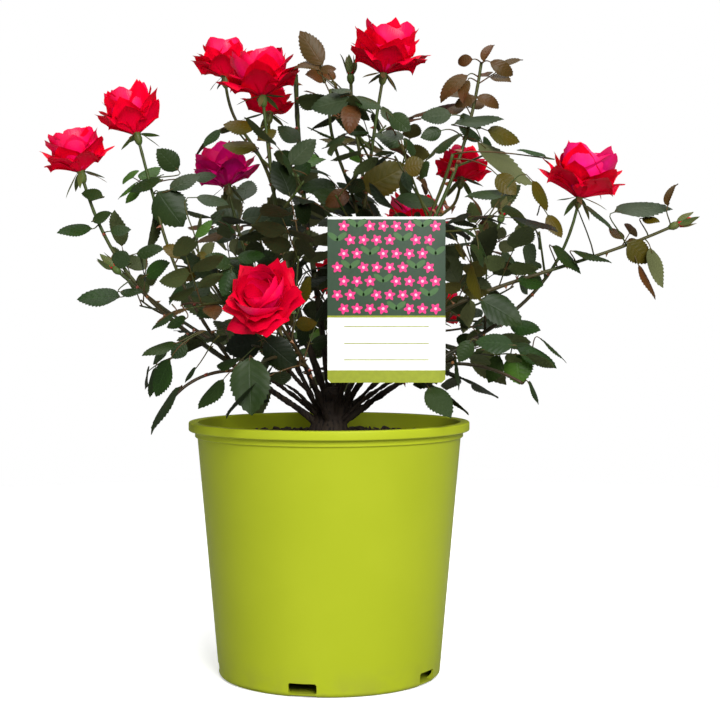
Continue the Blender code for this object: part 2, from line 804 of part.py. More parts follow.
def pot_profile():
    rim_low = POT_HEIGHT - RIM_BAND
    collar_low = POT_HEIGHT - COLLAR_DROP
    inner_rim = wall_radius(POT_HEIGHT) - WALL
    profile = [(inner_rim, POT_HEIGHT - 0.001), (inner_rim + 0.001, POT_HEIGHT)]
    profile += arc((RIM_RADIUS - RIM_ROUND, POT_HEIGHT - RIM_ROUND), RIM_ROUND, 90, 0, 2)
    profile += arc((RIM_RADIUS - RIM_ROUND, rim_low + RIM_ROUND), RIM_ROUND, 0, -90, 2)
    profile += [(COLLAR_RADIUS, rim_low), (COLLAR_RADIUS, collar_low), (wall_radius(collar_low), collar_low - 0.0008)]
    profile += arc((BOTTOM_RADIUS - CORNER_ROUND, CORNER_ROUND), CORNER_ROUND, 0, -90, 3)
    profile += [(0, 0), (0, BASE_THICK)]
    profile += [(BOTTOM_RADIUS - 0.0055, BASE_THICK), (wall_radius(0.0075) - WALL, 0.0075)]
    profile.append(profile[0])
    return profile


def block(name, centre_angle, radius, width, low, high, group):
    """A box across the wall at an angle from the front, as a cutter."""
    bm = bmesh.new()
    bmesh.ops.create_cube(bm, size=1)
    bm.transform(Matrix.Diagonal((width, 2 * CUT_DEPTH, high - low, 1)))
    made = object_from(bm, name, group)
    turn = math.radians(centre_angle)
    made.location = (radius * math.sin(turn), -radius * math.cos(turn), (low + high) / 2)
    made.rotation_euler.z = turn
    made.hide_render = True
    made.display_type = "WIRE"
    return made


def make_pot(parts, cutters):
    pot = turned("pot", pot_profile(), POT_STEPS, parts)
    for i in range(HOLE_COUNT):
        angle = HOLE_FIRST + i * 360 / HOLE_COUNT
        block(f"hole_{i}", angle, BOTTOM_RADIUS, HOLE_WIDTH, BASE_THICK + 0.0002, HOLE_TOP, cutters)
        block(f"strip_{i}", angle, BOTTOM_RADIUS + 0.001, HOLE_WIDTH, -0.002, STRIP_LIFT, cutters)
    for i in range(RECESS_COUNT):
        angle = RECESS_FIRST + i * 360 / RECESS_COUNT
        block(f"recess_{i}", angle, BOTTOM_RADIUS + 0.004, RECESS_WIDTH, -0.002, RECESS_LIFT, cutters)
    cut = pot.modifiers.new("drain_holes", "BOOLEAN")
    cut.operation = "DIFFERENCE"
    cut.operand_type = "COLLECTION"
    cut.collection = cutters
    return pot


def make_soil(parts):
    """The potting mix, filling the pot to the trunk's foot."""
    low = BASE_THICK + GAP
    corner = 0.0110
    profile = [(0, SOIL_TOP), (wall_radius(SOIL_TOP) - WALL - GAP, SOIL_TOP)]
    profile += [(wall_radius(corner) - WALL - GAP - 0.0004, corner), (BOTTOM_RADIUS - CUT_DEPTH - 0.002, low), (0, low)]
    return turned("soil", profile, POT_STEPS, parts)


# Plant


def stub_length(cane):
    return STUB_HIGH if is_high(cane) else STUB_LOW


def make_trunk(lines, guide, parts):
    """The stump, flared at the soil, with the foot of every cane fused on."""
    foot = SOIL_TOP + GAP
    top = foot + TRUNK_HEIGHT
    profile = [(0, top), (TRUNK_TOP * 0.7, top - 0.001), (TRUNK_TOP, top - 0.005)]
    profile += [(TRUNK_WAIST, foot + 0.35 * TRUNK_HEIGHT), (0.9 * TRUNK_FLARE, foot + 0.006), (TRUNK_FLARE, foot), (0, foot)]
    stump = frozen(turned("stump", profile, TRUNK_STEPS, parts), parts)
    shear = Matrix.Identity(4)
    shear[0][2] = TRUNK_LEAN
    shear[0][3] = -TRUNK_LEAN * foot
    stump.data.transform(shear)
    stubs = new_collection("trunk_stubs")
    feet = []
    for cane in CANES:
        line = lines[cane.name]
        end = stub_length(cane)
        feet.append(limb_between(f"stub_{cane.name}", line, 0.0, end, BOUGH_STEP, guide, stubs, ("tip",)))
    bpy.context.view_layer.update()
    for item in feet:
        frozen(item, stubs)
    return fused("trunk", stump, stubs, parts)


def make_bough(cane, line, guide, parts):
    begin = stub_length(cane) + GAP
    end = bare_length(cane, line)
    name = f"bough_{cane.name}"
    return frozen(limb_between(name, line, begin, end, BOUGH_STEP, guide, parts, ("foot", "tip")), parts)


def make_mass(mass, guides, parts):
    """Stems, twigs, stalks, leaflets and blooms fused to one solid."""
    name = f"foliage_{mass.cane.name}"
    group = new_collection(name)
    main = mass.stems[0]
    begin = mass.cane.bare + GAP
    guide = guides[LIMB_SIDES]
    curves = [limb_between("main", main, begin, main.length, STEM_STEP, guide, group, ("foot",))]
    for stem in mass.stems[1:]:
        curves.append(limb_between("side", stem, 0.0, stem.length, STEM_STEP, guide, group, ()))
    for twig in mass.twigs:
        radii = [twig.radius(mark) for mark in twig.marks[::TWIG_SKIP]]
        curves.append(limb("twig", twig.points[::TWIG_SKIP], radii, guides[TWIG_SIDES], group))
    plates = [leaf_plate(leaf, "leaf", group) for leaf in mass.leaves]
    bpy.context.view_layer.update()
    base = [frozen(curve, group) for curve in curves][0]
    group.objects.unlink(base)
    parts.objects.link(base)
    for plate, leaf in zip(plates, mass.leaves):
        bend_plate(frozen(plate, group), leaf)
    for stem in mass.stems:
        if stem.tip == "bloom":
            bloom(stem, "bloom", group)
        if stem.tip == "bud":
            bud(stem, "bud", group)
    return fused(name, base, group, parts)


# Hang tag


def make_tag(stem, parts):
    """The printed tag, with a strap to a ring round the cane behind it."""
    pieces = new_collection("tag_pieces")
    bm = bmesh.new()
    bmesh.ops.create_cube(bm, size=1)
    bm.transform(Matrix.Diagonal((TAG_WIDE, TAG_THICK, TAG_TALL, 1)))
    card = object_from(bm, "card", parts)
    card.location = (TAG_LEFT + TAG_WIDE / 2, TAG_FRONT + TAG_THICK / 2, TAG_LOW + TAG_TALL / 2)
    hub = stem.at(RING_AT)
    axis = stem.tangent(RING_AT)
    inner = stem.radius(RING_AT) + 2 * GAP
    half = RING_TALL / 2
    profile = [(inner, half), (inner + RING_WALL, half), (inner + RING_WALL, -half), (inner, -half), (inner, half)]
    ring = turned("ring", profile, RING_STEPS, pieces)
    ring.matrix_world = Matrix.Translation(hub) @ axis.to_track_quat("Z", "Y").to_matrix().to_4x4()
    anchor = Vector((TAG_LEFT + TAG_WIDE / 2, TAG_FRONT + TAG_THICK * 0.6, TAG_LOW + TAG_TALL - STRAP_DROP))
    toward = (anchor - hub).normalized()
    toward = (toward - axis * toward.dot(axis)).normalized()
    start = hub + toward * (inner + 0.5 * RING_WALL)
    reach = anchor - start
    bm = bmesh.new()
    bmesh.ops.create_cube(bm, size=1)
    bm.transform(Matrix.Diagonal((reach.length, STRAP_THICK, STRAP_WIDE, 1)))
    strap = object_from(bm, "strap", pieces)
    strap.matrix_world = Matrix.Translation((start + anchor) / 2) @ reach.to_track_quat("X", "Z").to_matrix().to_4x4()
    bpy.context.view_layer.update()
    frozen(ring, pieces)
    return fused("tag", card, pieces, parts)


def main():
    clear_scene()
    parts = new_collection(COLLECTION)
    cutters = new_collection("cutters")
    guides_group = new_collection("guides")
    guides = {sides: section(sides, guides_group) for sides in (TWIG_SIDES, LIMB_SIDES)}
    root = bpy.data.objects.new("rose_bush_root", None)
    parts.objects.link(root)

    lines, masses = plan_plant()
    bark = material("bark", (0.045, 0.026, 0.018), 0.85)
    finish(make_trunk(lines, guides[LIMB_SIDES], parts), bark, root)
    cane_green = material("cane", (0.10, 0.13, 0.035), 0.6)
    leaf_green = material("foliage", (0.035, 0.085, 0.030), 0.5)
    for cane in CANES:
        finish(make_bough(cane, lines[cane.name], guides[LIMB_SIDES], parts), cane_green, root)
    for mass in masses:
        finish(make_mass(mass, guides, parts), leaf_green, root)
    finish(make_tag(lines[TAG_CANE], parts), material("tag_card", (0.85, 0.86, 0.82), 0.4), root)
    for guide in list(guides_group.objects):
        bpy.data.objects.remove(guide, do_unlink=True)
    finish(make_soil(parts), material("potting_mix", (0.035, 0.022, 0.014), 0.95), root)
    finish(make_pot(parts, cutters), material("pot_green", (0.45, 0.55, 0.04), 0.42), root)


main()
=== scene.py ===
import json
import math
import random
from collections import namedtuple

import bmesh
import bpy
from mathutils import Matrix, Vector, noise
from mathutils.bvhtree import BVHTree
from mathutils.kdtree import KDTree

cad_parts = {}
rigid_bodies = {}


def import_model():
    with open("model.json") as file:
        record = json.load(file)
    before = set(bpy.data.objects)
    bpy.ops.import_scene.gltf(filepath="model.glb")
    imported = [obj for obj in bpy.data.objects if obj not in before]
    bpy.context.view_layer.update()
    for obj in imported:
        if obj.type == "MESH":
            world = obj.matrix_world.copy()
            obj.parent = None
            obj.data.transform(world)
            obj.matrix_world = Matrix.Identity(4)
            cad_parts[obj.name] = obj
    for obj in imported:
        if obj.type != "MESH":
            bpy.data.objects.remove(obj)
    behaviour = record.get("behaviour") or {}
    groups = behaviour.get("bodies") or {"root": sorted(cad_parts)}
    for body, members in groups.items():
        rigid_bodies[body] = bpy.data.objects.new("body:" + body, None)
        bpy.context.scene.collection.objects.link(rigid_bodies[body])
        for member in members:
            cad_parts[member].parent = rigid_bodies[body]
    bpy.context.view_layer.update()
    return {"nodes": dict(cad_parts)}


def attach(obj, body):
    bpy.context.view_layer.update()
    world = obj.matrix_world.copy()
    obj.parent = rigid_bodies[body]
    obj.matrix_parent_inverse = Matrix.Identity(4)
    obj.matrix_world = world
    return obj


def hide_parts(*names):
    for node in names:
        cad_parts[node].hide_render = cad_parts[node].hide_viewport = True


# Rose bush in a lime nursery pot with a hang tag, in metres; -Y is the front
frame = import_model()
print("stage: frame loaded,", len(frame["nodes"]), "nodes")
up = Vector((0, 0, 1))


# The growth rule, with the numbers that the solids were grown by

Cane = namedtuple("Cane", "name start rise launch azimuth reach height arrive thick bare twigs tip flower")
caneTable = (  # degrees and metres: foot on the stump, slope there, tip, slope there, then thickness and bare run
    Cane("left", 186, 0.010, 37, 191, 0.205, 0.420, 76, 0.0074, 0.080, 3, "bloom", 0.058),
    Cane("low_left", 212, 0.012, 60, 203, 0.142, 0.226, -58, 0.0050, 0.058, 1, "leaf", 0),
    Cane("front_left", 234, 0.015, 50, 220, 0.130, 0.345, 60, 0.0056, 0.066, 4, "shoot", 0),
    Cane("front", 258, 0.011, 45, 249, 0.118, 0.300, 28, 0.0062, 0.068, 3, "bloom", 0.070),
    Cane("front_right", 294, 0.013, 63, 323, 0.124, 0.428, 70, 0.0060, 0.158, 3, "shoot", 0),
    Cane("low_right", 320, 0.010, 42, 341, 0.166, 0.246, -30, 0.0056, 0.070, 3, "leaf", 0),
    Cane("far_right", 342, 0.016, 61, 358, 0.284, 0.374, 24, 0.0066, 0.078, 4, "bud", 0),
    Cane("right", 6, 0.009, 40, 5, 0.213, 0.403, 80, 0.0072, 0.078, 3, "bloom", 0.075),
    Cane("back_right", 34, 0.013, 42, 35, 0.186, 0.385, 70, 0.0068, 0.076, 4, "bud", 0),
    Cane("back", 62, 0.010, 52, 62, 0.162, 0.375, 76, 0.0070, 0.080, 4, "bloom", 0.068),
    Cane("back_low", 88, 0.014, 40, 88, 0.200, 0.330, 58, 0.0064, 0.076, 4, "bloom", 0.060),
    Cane("back_mid", 112, 0.010, 48, 114, 0.170, 0.380, 64, 0.0062, 0.076, 4, "shoot", 0),
    Cane("back_left", 132, 0.010, 55, 139, 0.122, 0.418, 74, 0.0064, 0.076, 3, "bloom", 0.062),
    Cane("side_left", 160, 0.014, 40, 165, 0.190, 0.338, 40, 0.0060, 0.074, 4, "bud", 0),
    Cane("top_left", 200, 0.036, 70, 200, 0.058, 0.484, 84, 0.0078, 0.076, 3, "bloom", 0.068),
    Cane("pruned", 112, 0.037, 74, 126, 0.050, 0.508, 88, 0.0070, 0, 0, "cut", 0),
    Cane("top", 28, 0.037, 78, 0, 0.046, 0.505, 80, 0.0074, 0.095, 3, "bloom", 0.069),
    Cane("thorny", 318, 0.035, 58, 351, 0.127, 0.508, 82, 0.0078, 0.090, 4, "shoot", 0),
)
Side = namedtuple("Side", "cane share azimuth reach height arrive tip flower")
sideTable = (  # side stems, by the share of the leafy part where they leave their cane
    Side("left", 0.04, 176.5, 0.163, 0.456, 74, "bloom", 0.051),
    Side("front", 0.05, 243, 0.118, 0.262, -25, "leaf", 0),
    Side("low_right", 0.10, 315, 0.108, 0.258, -38, "leaf", 0),
    Side("top_left", 0.55, 149, 0.107, 0.510, 82, "bloom", 0.053),
    Side("top_left", 0.66, 150, 0.060, 0.476, 78, "bloom", 0.042),
    Side("top", 0.35, 60, 0.036, 0.500, 86, "bud", 0),
    Side("top", 0.20, 280, 0.010, 0.488, 100, "shoot", 0),
    Side("thorny", 0.30, 26, 0.127, 0.422, 70, "bloom", 0.048),
    Side("back_right", 0.08, 48, 0.140, 0.300, 60, "bloom", 0.054),
)
plantRule = {
    "soilTop": 0.198, "potHeight": 0.2123, "rimRadius": 0.1175,
    "trunkHeight": 0.042, "trunkLean": 0.06, "lowStart": 0.007, "highStart": 0.0058,
    "bow": 0.42, "sideTurn": 1.2, "linePoints": 28,
    "tipThick": 0.0030, "cutThick": 0.0050, "sideThick": 0.0036, "twigThick": 0.0026, "twigTipThick": 0.0018,
    "twigLength": (0.045, 0.085), "twigSpread": (44, 62), "twigLift": (0.05, 0.40), "twigPoints": 6,
    "twigRun": 0.72, "twigBare": 0.45, "twigFoot": 0.010,
    "sampleStep": 0.004, "golden": 137.5, "seed": 20,
    "rollTries": (0, 30, -30, 60, -60, 95, -95, 130, -130, 165),
}
leafRule = {
    "first": 0.010, "petiole": 0.020, "pairStep": 0.0225, "pairAngle": 66,
    "leaflet": 0.040, "wide": 0.62, "widest": 0.46, "thick": 0.0010, "stalkWide": 0.0018, "root": 0.0008,
    "size": (0.84, 1.10), "spread": (48, 64), "droop": (0.10, 0.30), "tilt": 40, "fewPairs": 0.25,
    "toSky": 0.60, "outward": 0.45, "backward": 0.25, "cup": 0.14,
    "youngRun": 0.070, "youngShrink": 0.55, "youngRise": 18,
    "sizeTries": ((1.0, 2), (0.86, 2), (0.78, 1), (0.62, 1)),
    "tipBare": {"bloom": 0.030, "bud": 0.022, "cut": 0.050, "shoot": 0.004, "leaf": 0.004, "twig": 0.006},
}
spaceRule = {
    "edge": 0.024, "limbClear": 0.0065, "ownClear": 0.0045, "bloomClear": 0.009, "soilClear": 0.020,
    "crownHeight": 0.355, "crownRadius": 0.225, "crownHalf": 0.185, "crownStray": 0.046, "rimClear": 0.006,
}
coarse = {"apart": 0.0495, "clear": 0.0025, "step": 0.022}  # the leaves that the solids have
fine = {  # those between them, lying flatter; keep is the share that stays on a cane, fewer where the crown is open
    "apart": 0.0310, "clear": 0.0012, "step": 0.013, "seed": 400, "twigs": 3, "sideTwigs": 1,
    "toSky": 0.95, "outward": 0.25, "youngShrink": 0.25, "size": (0.92, 1.20), "sizes": ((1.0, 2), (0.86, 2), (0.74, 1)),
    "keep": {"left": 0.14, "low_left": 0.0, "front_left": 0.25, "front": 0.85, "front_right": 0.8, "low_right": 0.15,
             "far_right": 0.25, "right": 0.25, "back_right": 0.60, "back_left": 0.60, "side_left": 0.16, "thorny": 0.45},
    "thin": {"left": 0.30, "side_left": 0.25, "low_left": 0.25, "right": 0.10}, "openMost": 0.30,
    "nudge": {"front": (-0.002, 0.0, 0.0075)},  # a tip moved by this, to stand where it does at the front
    "shown": ("left", "front", "right", "back_left", "top_left", "top", "thorny"), "from": (0.026, -1.32, 0.306),
}
gapPlaces = (  # where the crown is open from the front: across, up and radius in millimetres, level with the trunk
    (203, 306, 29), (-180, 283, 26), (-114, 475, 26), (-213, 341, 23), (242, 314, 22), (163, 480, 21), (127, 228, 16),
    (-102, 235, 15), (67, 483, 16), (179, 455, 15), (-166, 250, 14), (4, 535, 12), (284, 361, 10), (184, 243, 12),
    (-163, 386, 12), (95, 519, 11), (118, 251, 10), (-125, 221, 10), (-140, 450, 10), (-155, 371, 10), (-178, 331, 8),
    (110, 533, 21), (159, 394, 8), (-195, 416, 8), (13, 502, 8), (-120, 440, 7), (73, 442, 7), (2, 457, 7), (35, 492, 7), (-166, 361, 7),
)
shownLeaves = (  # the leaves that stand out at the front: tone, foot and tip in millimetres, width as seen
    ("mid", -191, -42, 371, -219, -47, 368, 11), ("dark", -177, -41, 369, -160, -40, 371, 9),
    ("dark", -191, -42, 377, -175, -45, 384, 10), ("dark", -182, -44, 397, -200, -41, 400, 10),
    ("dark", -161, -37, 344, -177, -34, 349, 15), ("dark", -156, -38, 351, -133, -46, 355, 10),
    ("mid", -147, -48, 333, -126, -58, 343, 13), ("mid", -176, 8, 316, -214, 15, 314, 14),
    ("dark", -170, -35, 320, -150, -40, 320, 7), ("dark", -115, -111, 280, -141, -117, 270, 10),
    ("mid", -120, -111, 267, -133, -101, 238, 17), ("dark", -112, -75, 279, -123, -76, 267, 13),
    ("dark", -106, -124, 299, -122, -117, 292, 8), ("dark", -113, -134, 303, -131, -135, 290, 5),
    ("dark", -143, -1, 404, -122, 1, 375, 31), ("dark", -126, 0, 422, -143, -7, 439, 18),
    ("dark", -140, 0, 414, -168, 2, 405, 11), ("grey", -133, -2, 405, -108, 6, 419, 15),
    ("grey", -116, 20, 417, -96, 20, 419, 10), ("grey", -105, -60, 395, -79, -60, 390, 10),
    ("fresh", -102, -90, 361, -90, -86, 376, 9), ("dark", -59, -111, 269, -57, -120, 225, 31),
    # the two deep leaves here, low at the front left of the tag, are near-black: painted shade
    ("deep", -53, -59, 281, -83, -54, 273, 24), ("deep", -49, -88, 282, -24, -86, 260, 23),
    ("mid", -75, -83, 337, -82, -87, 316, 14), ("dark", -75, -84, 340, -95, -93, 347, 13),
    ("mid", -76, -20, 348, -52, -24, 350, 11), ("dark", -118, -56, 244, -144, -57, 206, 6),
    ("dark", -103, -81, 260, -113, -77, 248, 5), ("olive", -59, -25, 454, -87, -17, 458, 14),
    ("olive", -59, -17, 439, -88, -13, 441, 13), ("olive", -58, -24, 445, -43, -16, 454, 11),
    ("bronze", -4, -60, 500, -22, -62, 527, 18), ("bronze", -6, -60, 496, -28, -54, 498, 7),
    ("bronze", -6, -60, 496, 7, -61, 497, 7), ("grey", 18, -51, 474, -14, -43, 468, 18),
    ("grey", 19, -55, 479, 2, -47, 482, 6), ("dark", 21, -53, 476, 43, -61, 465, 10),
    ("bronze", 19, -48, 470, 17, -55, 446, 16), ("dark", 49, -117, 454, 64, -122, 441, 14),
    ("grey", 59, -108, 436, 43, -99, 443, 9), ("grey", 100, -39, 463, 75, -40, 461, 14),
    ("grey", 102, -36, 456, 143, -34, 461, 12), ("dark", 92, -35, 451, 75, -39, 445, 12),
    ("olive", 28, 1, 406, 66, 1, 426, 29), ("olive", 60, -97, 415, 77, -99, 418, 16),
    ("grey", 61, -71, 415, 65, -74, 398, 10), ("bronze", 17, -7, 403, -3, -5, 392, 15),
    ("dark", 55, -24, 396, 90, -22, 392, 13), ("grey", -25, 14, 447, -44, 22, 461, 14),
    ("grey", -31, -38, 423, -10, -34, 444, 18), ("bronze", 127, -26, 508, 136, -17, 524, 7),
    ("bronze", 132, -26, 508, 152, -19, 498, 12), ("bronze", 118, -26, 510, 106, -16, 509, 10),
    ("bronze", 114, -26, 497, 92, -22, 475, 12), ("bronze", 114, -26, 493, 110, -32, 473, 9),
    ("bronze", 121, -26, 479, 140, -19, 471, 10), ("bronze", 121, -26, 479, 104, -17, 473, 10),
    ("olive", 130, -27, 452, 158, -18, 444, 16), ("under", 122, -27, 443, 168, -26, 407, 21),
    ("mid", 171, -90, 424, 148, -86, 430, 7), ("olive", 133, -85, 411, 147, -91, 395, 16),
    ("dark", 142, -85, 395, 108, -78, 395, 8), ("olive", 160, -89, 406, 173, -87, 383, 11),
    ("olive", 179, -31, 383, 190, -35, 364, 12), ("grey", 207, -35, 391, 230, -44, 369, 8),
    ("grey", 236, -15, 386, 286, -8, 392, 12), ("bronze", 280, -16, 391, 291, -6, 410, 4),
    ("olive", 259, -15, 381, 272, -24, 378, 7), ("olive", 247, -15, 361, 267, -9, 345, 20),
    ("under", 266, -15, 357, 275, -17, 323, 15), ("bronze", 256, -15, 343, 270, -22, 314, 8),
    ("dark", 201, -16, 354, 234, -20, 345, 7), ("dark", 184, -17, 358, 209, -12, 335, 10),
    ("mid", 156, -17, 329, 179, -9, 327, 11), ("mid", 152, 8, 293, 177, -2, 288, 14),
    ("mid", 144, -107, 278, 115, -105, 281, 15), ("mid", 161, 40, 275, 195, 31, 256, 15),
    ("dark", 182, 51, 281, 207, 55, 259, 5), ("fresh", 161, 41, 267, 164, 38, 241, 26),
    ("dark", 146, 32, 266, 136, 40, 242, 15), ("dark", 160, -60, 248, 171, -50, 229, 5),
    ("dark", 112, -103, 282, 102, -103, 265, 13), ("dark", 100, -73, 270, 105, -63, 241, 5),
    ("dark", 80, -73, 244, 97, -90, 221, 19), ("under", 117, -18, 314, 110, -27, 286, 11),
    ("dark", 125, -18, 314, 160, -16, 293, 23),
)
tagForm = {
    "left": 0.0002, "wide": 0.0928, "low": 0.2480, "tall": 0.1305, "front": -0.0805, "thick": 0.0008, "clear": 0.004,
    "strapWide": 0.0045, "strapThick": 0.0010, "strapDrop": 0.007, "ringAt": 0.140, "ringTall": 0.0045,
    "ringWall": 0.0012, "cane": "front_right",
}
bloomSink = 0.004  # a bloom's hip runs this far over its stem's tip


class Stem:
    def __init__(self, points, footThick, tipThick, tip, flower=0):
        self.points = points
        self.footThick = footThick
        self.tipThick = tipThick
        self.tip = tip
        self.flower = flower
        self.marks = [0.0]
        for a, b in zip(points, points[1:]):
            self.marks.append(self.marks[-1] + (b - a).length)
        self.length = self.marks[-1]

    def at(self, distance):
        last = len(self.marks) - 2
        index = 0
        while index < last and self.marks[index + 1] < distance:
            index += 1
        run = self.marks[index + 1] - self.marks[index]
        return self.points[index].lerp(self.points[index + 1], (distance - self.marks[index]) / run)

    def tangent(self, distance):
        near = max(0.0, distance - plantRule["sampleStep"])
        far = min(self.length, distance + plantRule["sampleStep"])
        return (self.at(far) - self.at(near)).normalized()

    def radius(self, distance):
        return 0.5 * (self.footThick + (self.tipThick - self.footThick) * distance / self.length)

    def samples(self, begin=0.0):
        count = max(2, round((self.length - begin) / plantRule["sampleStep"]))
        return [self.at(begin + (self.length - begin) * i / count) for i in range(count + 1)]


def heading(azimuth, slope):
    turn = math.radians(azimuth)
    rise = math.radians(slope)
    return Vector((math.cos(turn) * math.cos(rise), math.sin(turn) * math.cos(rise), math.sin(rise)))


def bezier(a, b, c, d, count):
    points = []
    for i in range(count + 1):
        t = i / count
        s = 1 - t
        points.append(a * s**3 + b * (3 * s * s * t) + c * (3 * s * t * t) + d * t**3)
    return points


def spot(azimuth, reach, height):
    point = heading(azimuth, 0) * reach
    point.z = height
    return point


def caneStem(cane):
    high = cane.rise > plantRule["trunkHeight"] / 2
    foot = spot(cane.start, plantRule["highStart" if high else "lowStart"], plantRule["soilTop"] + cane.rise)
    foot.x += plantRule["trunkLean"] * cane.rise
    tip = spot(cane.azimuth, cane.reach, cane.height)
    carry = plantRule["bow"] * (tip - foot).length
    low = foot + heading(cane.start, cane.launch) * carry
    high = tip - heading(cane.azimuth, cane.arrive) * carry
    tipThick = plantRule["cutThick" if cane.tip == "cut" else "tipThick"]
    return Stem(bezier(foot, low, high, tip, plantRule["linePoints"]), cane.thick, tipThick, cane.tip, cane.flower)


def sideStem(side, parent, begin):
    distance = begin + side.share * (parent.length - begin)
    foot = parent.at(distance)
    tip = spot(side.azimuth, side.reach, side.height)
    chord = tip - foot
    carry = plantRule["bow"] * chord.length
    low = foot + (parent.tangent(distance) + chord.normalized() * plantRule["sideTurn"]).normalized() * carry
    flat = math.degrees(math.atan2(chord.y, chord.x))
    high = tip - heading(flat, side.arrive) * carry
    thick = min(plantRule["sideThick"], 2 * parent.radius(distance))
    line = bezier(foot, low, high, tip, plantRule["linePoints"])
    return Stem(line, thick, plantRule["tipThick"], side.tip, side.flower)


def treeOf(points):
    found = KDTree(len(points))
    for i, point in enumerate(points):
        found.insert(point, i)
    found.balance()
    return found


def roundAxis(axis, turn):
    side = axis.orthogonal().normalized()
    side.rotate(Matrix.Rotation(math.radians(turn), 3, axis))
    return side


Leaf = namedtuple("Leaf", "root along across face size pairs droop young")


def compoundLeaf(root, tangent, roll, pairs, size, spread, droop, tilt, young, how):
    side = roundAxis(tangent, roll)
    along = (tangent * math.cos(math.radians(spread)) + side * math.sin(math.radians(spread))).normalized()
    outward = Vector((root.x, root.y, 0)).normalized()
    face = up * how.get("toSky", leafRule["toSky"]) + outward * how.get("outward", leafRule["outward"])
    face -= side * leafRule["backward"]
    face = (face - along * face.dot(along)).normalized()
    face.rotate(Matrix.Rotation(math.radians(tilt), 3, along))
    return Leaf(root, along, face.cross(along), face, size, pairs, droop, young)


def leafReach(leaf):
    return leaf.size * (leafRule["petiole"] + leaf.pairs * leafRule["pairStep"] + leafRule["leaflet"])


def bent(leaf, x, y):
    fall = leaf.droop * x * abs(x) / leafReach(leaf) + leafRule["cup"] * abs(y)
    return leaf.root + leaf.along * x + leaf.across * y - leaf.face * fall


def leafMiddle(leaf):
    return bent(leaf, leaf.size * (leafRule["petiole"] + 0.5 * (leaf.pairs + 1) * leafRule["pairStep"]), 0)


def leafOutline(leaf):
    half = leafRule["stalkWide"] / 2
    cos = math.cos(math.radians(leafRule["pairAngle"]))
    sin = math.sin(math.radians(leafRule["pairAngle"]))
    side = [(-leafRule["root"], half)]
    for i in range(leaf.pairs):
        foot = leaf.size * (leafRule["petiole"] + i * leafRule["pairStep"])
        length = leaf.size * leafRule["leaflet"] * (0.80 + 0.08 * i)
        belly = leafRule["widest"] * length
        wide = 0.5 * leafRule["wide"] * length
        side.append((foot - half, half))
        side.append((foot + belly * cos - wide * sin, belly * sin + wide * cos))
        side.append((foot + length * cos, length * sin))
        side.append((foot + belly * cos + wide * sin, belly * sin - wide * cos))
        side.append((foot + half, half))
    length = leaf.size * leafRule["leaflet"]
    foot = leaf.size * (leafRule["petiole"] + leaf.pairs * leafRule["pairStep"])
    side.append((foot + leafRule["widest"] * length, 0.5 * leafRule["wide"] * length))
    return side + [(foot + length, 0)] + [(x, -y) for x, y in reversed(side)]


def leafTree(leaves, half):
    corners = []
    faces = []
    for leaf in leaves:
        outline = leafOutline(leaf)
        count = len(outline)
        base = len(corners)
        corners += [bent(leaf, x, y) + leaf.face * half for x, y in outline]
        corners += [bent(leaf, x, y) - leaf.face * half for x, y in outline]
        faces += [list(range(base, base + count)), list(range(base + count, base + 2 * count))]
        for i in range(count):
            after = (i + 1) % count
            faces.append([base + i, base + after, base + count + after, base + count + i])
    return BVHTree.FromPolygons(corners, faces)


class Mass:
    def __init__(self, cane, stems):
        self.cane = cane
        self.stems = stems
        self.twigs = []
        self.leaves = []

    def blooms(self):
        return [stem for stem in self.stems if stem.tip == "bloom"]

    def spacePoints(self):
        points = []
        for stem in self.stems:
            begin = self.cane.bare if stem is self.stems[0] else 0.0
            points += stem.samples(begin)
            if stem.tip == "bloom":
                centre, axis = bloomPlace(stem)
                for turn in range(0, 360, 45):
                    points.append(centre + roundAxis(axis, turn) * (stem.flower * 0.42))
                points.append(centre + axis * (stem.flower * 0.3))
        return points


def bloomPlace(stem):
    axis = stem.tangent(stem.length)
    return stem.points[-1] + axis * (0.22 * stem.flower - bloomSink), axis


def inTagSpace(point):
    clear = tagForm["clear"]
    beside = tagForm["left"] - clear < point.x < tagForm["left"] + tagForm["wide"] + clear
    level = tagForm["low"] - clear < point.z < tagForm["low"] + tagForm["tall"] + clear
    return beside and level and point.y < tagForm["front"] + tagForm["thick"] + clear


def tooLow(point):
    out = math.hypot(point.x, point.y)
    if out < plantRule["rimRadius"] - spaceRule["rimClear"]:
        return point.z < plantRule["soilTop"] + spaceRule["soilClear"]
    if out < plantRule["rimRadius"] + spaceRule["rimClear"]:
        return point.z < plantRule["potHeight"] + spaceRule["rimClear"]
    return False


def outsideCrown(point):
    level = (point.z - spaceRule["crownHeight"]) / spaceRule["crownHalf"]
    return math.hypot(point.x, point.y) / spaceRule["crownRadius"] > math.sqrt(max(0.0, 1 - level * level))


def shownSights(masses, how):  # the blooms and leaves that nothing else may hide from the front
    sights = [(bloomPlace(stem)[0], 0.46 * stem.flower) for mass in masses if mass.cane.name in how["shown"]
              for stem in mass.blooms()]
    for _, *ends, wide in shownLeaves:
        foot, tip = Vector(ends[:3]) / 1000, Vector(ends[3:]) / 1000
        sights.append(((foot + tip) / 2, 0.30 * (tip - foot).length))
    return sights


def hides(points, sights, eye):  # whether a leaf would stand before one of them
    for centre, radius in sights:
        sight = (centre - eye).normalized()
        depth = (centre - eye).length - 0.5 * radius
        for point in points:
            run = (point - eye).dot(sight)
            if run < depth and (point - eye - sight * run).length < radius * run / depth:
                return True
    return False


def openShare(points, eye):  # how much of a leaf would stand in the crown's open places
    found = 0
    for point in points:
        run = eye.y / (eye.y - point.y)
        x = 1000 * (eye.x + (point.x - eye.x) * run)
        z = 1000 * (eye.z + (point.z - eye.z) * run)
        found += any((x - a) ** 2 + (z - b) ** 2 < radius * radius for a, b, radius in gapPlaces)
    return found / len(points)


